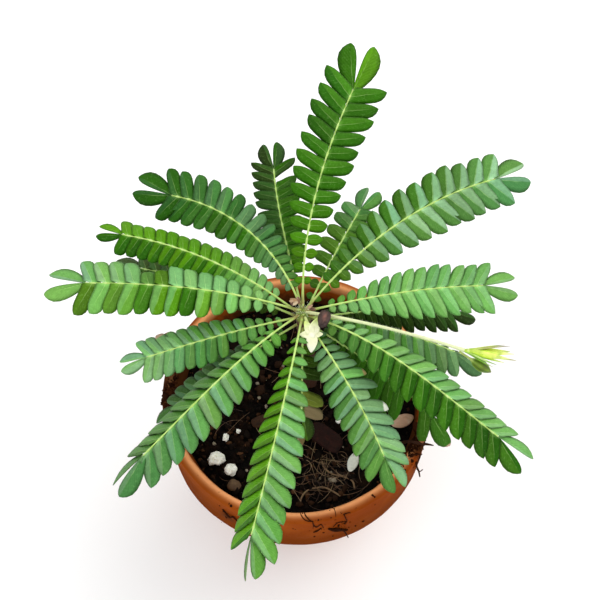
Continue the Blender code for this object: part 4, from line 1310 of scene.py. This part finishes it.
class GrowFronds(bpy.types.Operator):
    """Grow the nineteen leaves with their midribs, leaflets and hairs"""

    bl_idname = "biophytum.grow_fronds"
    bl_label = "Grow Leaves"

    def execute(self, context):
        settings = context.scene.biophytum_leaf
        finishes = [blade_finish(), rib_finish(settings), hair_finish()]
        for number in FRONDS:
            leaf = frond(number)
            leaflets = leaflets_of(leaf, settings.thickness / MM, settings.tilt)
            grow(f"frond_{number:02d}", joined(leaflets + [midrib_of(leaf), node_hairs(leaf)]),
                 finishes, f"leaf_{number:02d}")
        return {"FINISHED"}


# The flower stalk leaves the crown as a leaf does
SCAPE = dict(heading=-17, slope=12, tip_slope=0, turn=-4, bow=0, lift=2, length=57)
FLOWER_WAY, BUD_WAY = compass_way(-12, 8), compass_way(-28, -18.4)


class GrowFlowerStalk(bpy.types.Operator):
    """Grow the flower stalk with its sepals and the hanging bud"""

    bl_idname = "biophytum.grow_flower_stalk"
    bl_label = "Grow Flower Stalk"

    def execute(self, context):
        chance = np.random.default_rng(51)
        hair = hair_finish()
        (end,), (forward,), _, _ = along_midrib(SCAPE, [1.0])
        stalk_skin = marked_finish("stalk_skin", "#B9C27A", 1.5, 0.06, 0.5, "#E7D9C2", 0.5)
        grow("scape", joined(self.stalk(chance)), [stalk_skin, hair], "flower_stalk")
        sepal_skin = marked_finish("sepal_skin", "#7FAE14", 1.4, 0.06, 0.45, "#F2FA9E", 0.5)
        grow("sepals", joined(self.flower(chance, end + forward * 0.6)), [sepal_skin, hair],
             "calyx")
        out = unit(BUD_WAY - forward * (BUD_WAY @ forward))
        bud_skin = marked_finish("bud_skin", "#4A4410", 1.2, 0.08, 0.45, "#86A82A", 0.45)
        grow("drooping_bud", self.bud(end - forward * 1.5 + out * 1.3), [bud_skin],
             "hanging_bud")
        return {"FINISHED"}

    def stalk(self, chance):
        """The stalk as a rod that thickens at its end, and the hairs all over it."""
        shares = np.linspace(0, 1, 50)
        place, forward, _, _ = along_midrib(SCAPE, shares)
        path = np.concatenate([[place[0] - forward[0] * 2.4], place])
        radii = np.concatenate([[0.6], 0.62 - 0.12 * shares + 0.25 * ease(shares, 0.93, 1.0)])
        stalk = rod(path, radii, 10)
        t = stalk.marks["along"][:, None]
        stalk.marks["shade"] = mixed(tint("#D9DDA6"), tint("#DCE6B0"), ease(t, 0.0, 0.3))
        count = 420
        place, forward, left, up = along_midrib(SCAPE, chance.uniform(0.02, 1.0, count))
        out = turned(chance.uniform(0, math.tau, count), left, up)
        ways = out + forward * chance.uniform(-0.3, 0.8, (count, 1))
        return [stalk, spikes(place + out * 0.5, ways, chance.uniform(0.5, 1.1, count), 0.045, 1)]

    def flower(self, chance, foot):
        """The sepals: flat rods that leave the flower's axis by t to the power 1.3 and bend
        back a little, round a small cup, with hairs along the axis."""
        left, up = beside(FLOWER_WAY)
        t = np.linspace(0, 1, 16)
        parts = []
        for turn, length, opening, width, tones in SEPALS:
            out = turned(math.radians(turn), left, up)
            flare = 0.35 + opening * length * t**1.3 * (1 - 0.35 * t)
            path = foot + FLOWER_WAY * (t * length - 0.4)[:, None] + out * flare[:, None]
            radii = width * plump((0.05 + 0.93 * t) ** 0.75, 0, 1, 0.9) + 0.05
            sepal = rod(path, radii, 10, upright=out, flat=0.24)
            fade = sepal.marks["along"][:, None]
            low, middle, high = (tint(tone) for tone in tones.split())
            shade = mixed(low, middle, ease(fade, 0.1, 0.5))
            sepal.marks["shade"] = mixed(shade, high, ease(fade, 0.6, 1.0))
            parts.append(sepal)
        parts.append(lump(foot + FLOWER_WAY, (1.1, 1.0, 0.9), 52, 0.06, 1.0, 7, 12,
                          shade="#DDE896"))
        count = 110
        root = foot + FLOWER_WAY * chance.uniform(0, 9, (count, 1))
        out = turned(chance.uniform(0, math.tau, count), left, up)
        parts.append(spikes(root + out * 1.1, out + FLOWER_WAY * 0.8,
                            chance.uniform(0.6, 1.2, count), 0.04, 1))
        return parts

    def bud(self, foot):
        """The bud: a rod that swells beyond its short neck, pressed in along five seams that
        wind slowly round it."""
        t = np.linspace(0, 1, 34)
        radii = np.interp(t, [0, 0.34, 0.4, 0.5, 0.62, 0.72, 0.86, 0.95, 1.0],
                          [0.4, 0.42, 0.75, 1.55, 2.05, 2.15, 1.5, 0.75, 0.15])
        bud = rod(foot + BUD_WAY * (13.5 * t)[:, None], radii, 20)
        axis = foot + BUD_WAY * ((bud.points - foot) @ BUD_WAY)[:, None]
        off = bud.points - axis
        side, other = beside(BUD_WAY)
        along = bud.marks["along"][:, None]
        turn = np.arctan2(off @ other, off @ side)[:, None]
        seams = 0.5 + 0.5 * np.cos(5 * turn + 2.2 * along)
        bud.points = axis + off * (1 - 0.12 * (1 - seams) ** 4 * ease(along, 0.4, 0.55))
        body = mixed(tint("#3F5E08"), tint("#7C9E1E"), seams**0.7)
        body = mixed(tint("#B9C86E"), body, ease(along, 0.36, 0.46))
        bud.marks["shade"] = mixed(body, tint("#6E7A3C"), ease(along, 0.86, 1.0))
        return bud


class GrowCrown(bpy.types.Operator):
    """Grow the two seed capsules and the papery scales at the crown"""

    bl_idname = "biophytum.grow_crown"
    bl_label = "Grow Crown"

    def execute(self, context):
        self.star_capsule(np.array([3.4, -9.3, 0.8]))
        self.dry_capsule(CROWN + [7.6, -5.4, 5.6])
        chance = np.random.default_rng(61)
        finish = marked_finish("papery_scale", "#4F301C", 0.7, 0.12, 0.6, "#CDBB9A", 0.5)
        for k, (at, length, heading) in enumerate(
                (((-1.8, 1.4, 5.3), 3.4, 150), ((2.2, -1.0, 5.3), 2.5, -10)), 1):
            scale = self.papery_scale(chance, at, length, heading)
            grow(f"papery_scale_{k}", scale, [finish], f"crown_scale_{k}")
        return {"FINISHED"}

    def star_capsule(self, off):
        """The open capsule, `off` from the crown: five valves round a hub, tilted to the
        front, and the stalk that carries it."""
        cream, lime, white = tint("#F5F6CC"), tint("#C6DC6C"), tint("#FBFBE6")
        centre = CROWN + off
        across, upward = compass_way(0, 0), compass_way(90, 30)
        normal = np.cross(across, upward)
        parts = []
        for angle, length, ends in ((3, 3.9, cream), (73, 6.4, lime), (120, 5.6, lime),
                                    (180, 4.7, cream), (266, 6.6, white)):
            way = turned(math.radians(angle), across, upward)
            parts.append(valve_shape(centre - normal * 0.3, way, normal, length, 62 + angle,
                                     cream, ends))
        parts.append(lump(centre, (1.5, 1.5, 0.8), 63, 0.1, 1.0, 7, 12, shade="#F7F7DA"))
        finish = marked_finish("pale_valve", "#DDE59A", 1.4, 0.12, 0.5, "#FFFDF0", 0.35)
        grow("star_capsule", joined(parts), [finish], "open_capsule")

        start = CROWN + unit(off * [1, 1, 0]) * 2.2 + UP * off[2]
        back = centre - normal
        path = smooth_path([start, (start + back) / 2 + UP * 0.3, back], 16)
        finish = marked_finish("pedicel_skin", "#9FB050", 1.2, 0.06, 0.5)
        grow("star_pedicel", rod(path, 0.55, shade="#CAD98A"), [finish],
             "capsule_pedicel")

    def dry_capsule(self, place):
        """The dried capsule: a creased lump with six ridges, and a paler, redder patch on its top.
        """
        turn = math.radians(-14)
        dry = lump(place, (2.3, 3.6, 1.7), 64, 0.05, 0.7, 24, 40, crease=0.16, turn=turn)
        local = spun(dry.points - place, -turn)
        ridge = 1 + 0.09 * np.sin(6 * np.arctan2(local[:, 2], local[:, 0]) + 0.6 * local[:, 1])
        dry.points = mixed(place, dry.points, ridge[:, None])
        paler_top = np.exp(-(((local - [0.3, 0.2, 1.6]) / [0.8, 1.6, 1.2]) ** 2).sum(1))[:, None]
        dry.marks["shade"] = mixed(tint("#35201A"), tint("#8C5A4C"), paler_top)
        finish = marked_finish("dry_husk", "#120A08", 0.8, 0.3, 0.55, "#6A4A42", 0.6)
        grow("dry_husk", dry, [finish], "dry_capsule")

    def papery_scale(self, chance, at, length, heading):
        """A tuft of flat bits, each a shallow arch; all but the first go astray a little."""
        bits = []
        t = np.linspace(0, 1, 10)
        for k, tone in enumerate(("#9A7650", "#6E4A30", "#BCA684", "#573624", "#A88868")):
            astray = float(k > 0)
            way = math.radians(heading + chance.normal(0, 28) * astray)
            size = length * (chance.uniform(0.5, 0.9) if astray else 1.0)
            foot = CROWN + at + chance.normal(0, 0.35, 3) * astray
            run = polar(t * size, way, 0.25 * size * t * (1 - t) + 0.18 * k * t)
            bits.append(rod(foot + run, 0.3 * size * plump(t, 0.06, 0.9, 0.8), 8, flat=0.16,
                            shade=tone))
        return joined(bits)


# Bark: place, length, width, turn in degrees, colour
CHIPS = ((11.5, -16.5, 17, 9, -38, "#260C06"), (-15, -9, 9, 5, 20, "#3E2616"),
         (-40, 12, 10, 5, 80, "#5A3A22"))
# Fallen leaflets: place, length, half width against it, turn in degrees, colour
FALLEN = ((22.5, -27, 8.4, 0.26, -110, "#E6E6DC"), (43.6, -9, 9.6, 0.3, 24, "#C79C82"),
          (1, -17, 8.0, 0.26, 75, "#7E6A3A"))
# The two thick roots and the twig: the places that they pass, the twig's heights from the rim
ROOTS = (((1, -44), (1.8, -41), (4, -38.5), (7.6, -37.5), (11, -37.5), (14, -39), (17, -41)),
         ((10, -26), (11, -29), (14, -31.5), (18, -32.5), (22, -34.5), (23, -38)))
TWIG = ((39, -19, -11.0), (42, -21.3, -4.5), (44.6, -23.0, 1.1), (47.5, -23.6, 1.2),
        (50.5, -24.0, 1.1), (54, -24.4, 0.5))


def bark_chip(k, middle, half):
    """A chip of bark: a lump squared up by a power of its own coordinates, with ripples across
    its grain."""
    x, y, length, width, turn, tone = CHIPS[k - 1]
    sizes = np.array([length / 2, width / 2, half[2]])
    chip = lump(np.zeros(3), sizes, 90 + k, 0.10, 0.9, 14, 36, shade=tone)
    local = np.sign(chip.points) * np.abs(chip.points / sizes) ** 0.62 * sizes * 0.93
    local[:, 2] += 0.16 * wobble(local * [0.25, 1, 1], 1.6, 95 + k)
    chip.points = spun(local, math.radians(turn)) + [x, y, middle[2]]
    return chip


def shed_leaflet(k, middle, half):
    """A fallen leaflet: a flat rod that swells in the middle."""
    x, y, length, plumpness, turn, tone = FALLEN[k - 1]
    t = np.linspace(0, 1, 16)
    path = [x, y, middle[2] + 0.6] + polar((t - 0.5) * length, math.radians(turn),
                                           0.5 * (t - 0.5) ** 2)
    radii = plumpness * length * plump(t, 0.04, 0.92, 0.62)
    return rod(path, radii, 12, flat=0.13, shade=tone)


def bare_root(k, middle, half):
    """A thick root: a rod of uneven thickness along the soil's surface."""
    x, y = np.array(ROOTS[k - 1], float).T
    rise = np.maximum(soil_height(x, y), soil_height(x + 1, y)) + 0.75
    path = smooth_path(np.column_stack([x, y, rise]), 50)
    return rod(path, 0.36 + 0.06 * wobble(path, 3, 97 + k), 7, shade="#86694A")


def foam_grain(k, middle, half):
    """A grain of perlite: a lump with deep creases."""
    return lump(middle, half * 1.16, 70 + k, 0.2, 0.55, 22, 34, crease=0.2, shade="#FFFDF3")


def brown_stone(k, middle, half):
    """The pebble: a lump with faint creases."""
    return lump(middle, half, 80, 0.09, 0.9, 16, 26, crease=0.05, shade="#5E4328")


def dry_twig(k, middle, half):
    """The twig: a rod of uneven thickness that tapers over its last fifth."""
    path = smooth_path(TWIG + UP * POT_HEIGHT, 40)
    radii = 0.62 + 0.12 * wobble(path, 2.5, 99)
    radii = radii * np.interp(np.linspace(0, 1, len(path)), [0, 0.8, 1], [1, 1, 0.4])
    return rod(path, radii, 8, shade="#3A2318")


class ScatterLitter(bpy.types.Operator):
    """Scatter the perlite, the pebble, bark, fallen leaflets, roots and the dry twig"""

    bl_idname = "biophytum.scatter_litter"
    bl_label = "Scatter Litter"

    def execute(self, context):
        # The maker, the node's name, how many there are, the slot, and the finish
        for make, node, count, slot, look, more in (
            # The perlite's colour is scaled above white: painted light that keeps the grains bright
            # in the shade of the leaves
            (foam_grain, "perlite", 6, "perlite",
             ("perlite_foam", "#B4AA8E", 0.45, 0.2, 0.75, "#FFFFFF", 0.45), dict(base=0.9)),
            (brown_stone, "pebble", 0, "pebble",
             ("brown_stone", "#2C1C10", 0.9, 0.2, 0.6, "#7C6040", 0.6), {}),
            (bark_chip, "bark", 3, "bark",
             ("bark_chip", "#0E0604", 0.8, 0.3, 0.7, "#42190E", 0.6),
             dict(Specular_IOR_Level=0.2)),
            (shed_leaflet, "fallen_leaflet", 3, "dry_leaflet",
             ("fallen_blade", "#9A8468", 1.2, 0.1, 0.65, "#EFEBDD", 0.35), {}),
            (bare_root, "root_strand", 2, "root",
             ("root_skin", "#4A3422", 1.0, 0.08, 0.7, "#A08462", 0.5), {}),
            (dry_twig, "twig", 0, "bark",
             ("twig_bark", "#160804", 0.8, 0.2, 0.7, "#5A2E1C", 0.35),
             dict(Specular_IOR_Level=0.05)),
        ):
            finish = marked_finish(*look, **more)
            for k in range(1, count + 1) or [0]:
                number = f"_{k}" if k else ""
                shape = make(k, *node_middle(node + number))
                grow(make.__name__ + number, shape, [finish], node + number)
        return {"FINISHED"}


# Lights, in metres: name, place, size, share of the key light's power, colour
LAMPS = (("key_light", (0.6, 0.5, 1.05), 1.3, 1.0, (1.0, 0.99, 0.96)),
         ("fill_light", (-0.7, -0.4, 0.9), 0.9, 0.35, (0.95, 0.98, 1.0)))
LAMP_AIM = Vector((0, 0, 0.12))
FLOOR_REACH = 4.0


class SetStage(bpy.types.Operator):
    """Set the floor, the soft light and the camera"""

    bl_idname = "biophytum.set_stage"
    bl_label = "Set Stage"

    def execute(self, context):
        settings = context.scene.biophytum_stage
        context.scene.view_settings.view_transform = "Standard"
        self.floor(settings)
        world = bpy.data.worlds.new("studio_air")
        context.scene.world = world
        world.use_nodes = True
        background = world.node_tree.nodes["Background"]
        background.inputs["Color"].default_value = (1.0, 1.0, 1.0, 1.0)
        background.inputs["Strength"].default_value = settings.air
        for name, place, size, share, colour in LAMPS:
            self.lamp(name, place, size, settings.key * share, colour)
        camera = bpy.data.cameras.new("camera")
        camera.sensor_width = CAMERA_SENSOR
        camera.lens = CAMERA_LENS
        camera.clip_start, camera.clip_end = 0.01, 20.0
        viewer = self.placed("camera", camera, (POT_AXIS + CAMERA_PLACE) * MM)
        viewer.rotation_euler = (math.radians(CAMERA_TILT), 0, 0)
        context.scene.camera = viewer
        return {"FINISHED"}

    def placed(self, name, data, place):
        """An object of the stage at a place in metres."""
        thing = bpy.data.objects.new(name, data)
        bpy.context.scene.collection.objects.link(thing)
        thing.location = place
        return thing

    def floor(self, settings):
        """One wide flat face of pale paper."""
        mesh = bpy.data.meshes.new("studio_floor")
        corners = ((-1, -1), (1, -1), (1, 1), (-1, 1))
        mesh.from_pydata([(x * FLOOR_REACH, y * FLOOR_REACH, 0) for x, y in corners],
                         [], [(0, 1, 2, 3)])
        f = Finish("studio_paper", Specular_IOR_Level=0.1)
        grain = f.noise(3.0, 2)
        mesh.materials.append(f.done(f.tinted(tuple(settings.floor), 0.99 + grain * 0.01), 0.9))
        self.placed("studio_floor", mesh, (0, 0, 0))

    def lamp(self, name, place, size, power, colour):
        """A round soft light that shines on the middle of the plant."""
        light = bpy.data.lights.new(name, "AREA")
        light.shape = "DISK"
        light.size = size
        light.energy = power
        light.color = colour
        way = LAMP_AIM - Vector(place)
        self.placed(name, light, place).rotation_euler = way.to_track_quat("-Z", "Y").to_euler()


MAKERS = (MakePot, FillPot, GrowStem, GrowFronds, GrowFlowerStalk, GrowCrown, ScatterLitter,
          SetStage)
GROUPS = {"biophytum_pot": PotSettings, "biophytum_mix": MixSettings,
          "biophytum_leaf": LeafSettings, "biophytum_stage": StageSettings}


class BiophytumPanel(bpy.types.Panel):
    """Lists the makers of the potted plant"""

    bl_idname = "VIEW3D_PT_biophytum"
    bl_label = "Potted Biophytum"
    bl_space_type = "VIEW_3D"
    bl_region_type = "UI"
    bl_category = "Biophytum"

    def draw(self, context):
        for maker in MAKERS:
            self.layout.operator(maker.bl_idname)


def register():
    """Adds the settings, the operators and the panel."""
    for kind in (*GROUPS.values(), *MAKERS, BiophytumPanel):
        bpy.utils.register_class(kind)
    for name, group in GROUPS.items():
        setattr(bpy.types.Scene, name, PointerProperty(type=group))


def unregister():
    """Takes them away again."""
    for name in GROUPS:
        delattr(bpy.types.Scene, name)
    for kind in (BiophytumPanel, *MAKERS, *GROUPS.values()):
        bpy.utils.unregister_class(kind)


def main():
    """Makes every piece in order."""
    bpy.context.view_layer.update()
    register()
    for maker in MAKERS:
        group, name = maker.bl_idname.split(".")
        getattr(getattr(bpy.ops, group), name)()


if __name__ == "__main__":
    main()
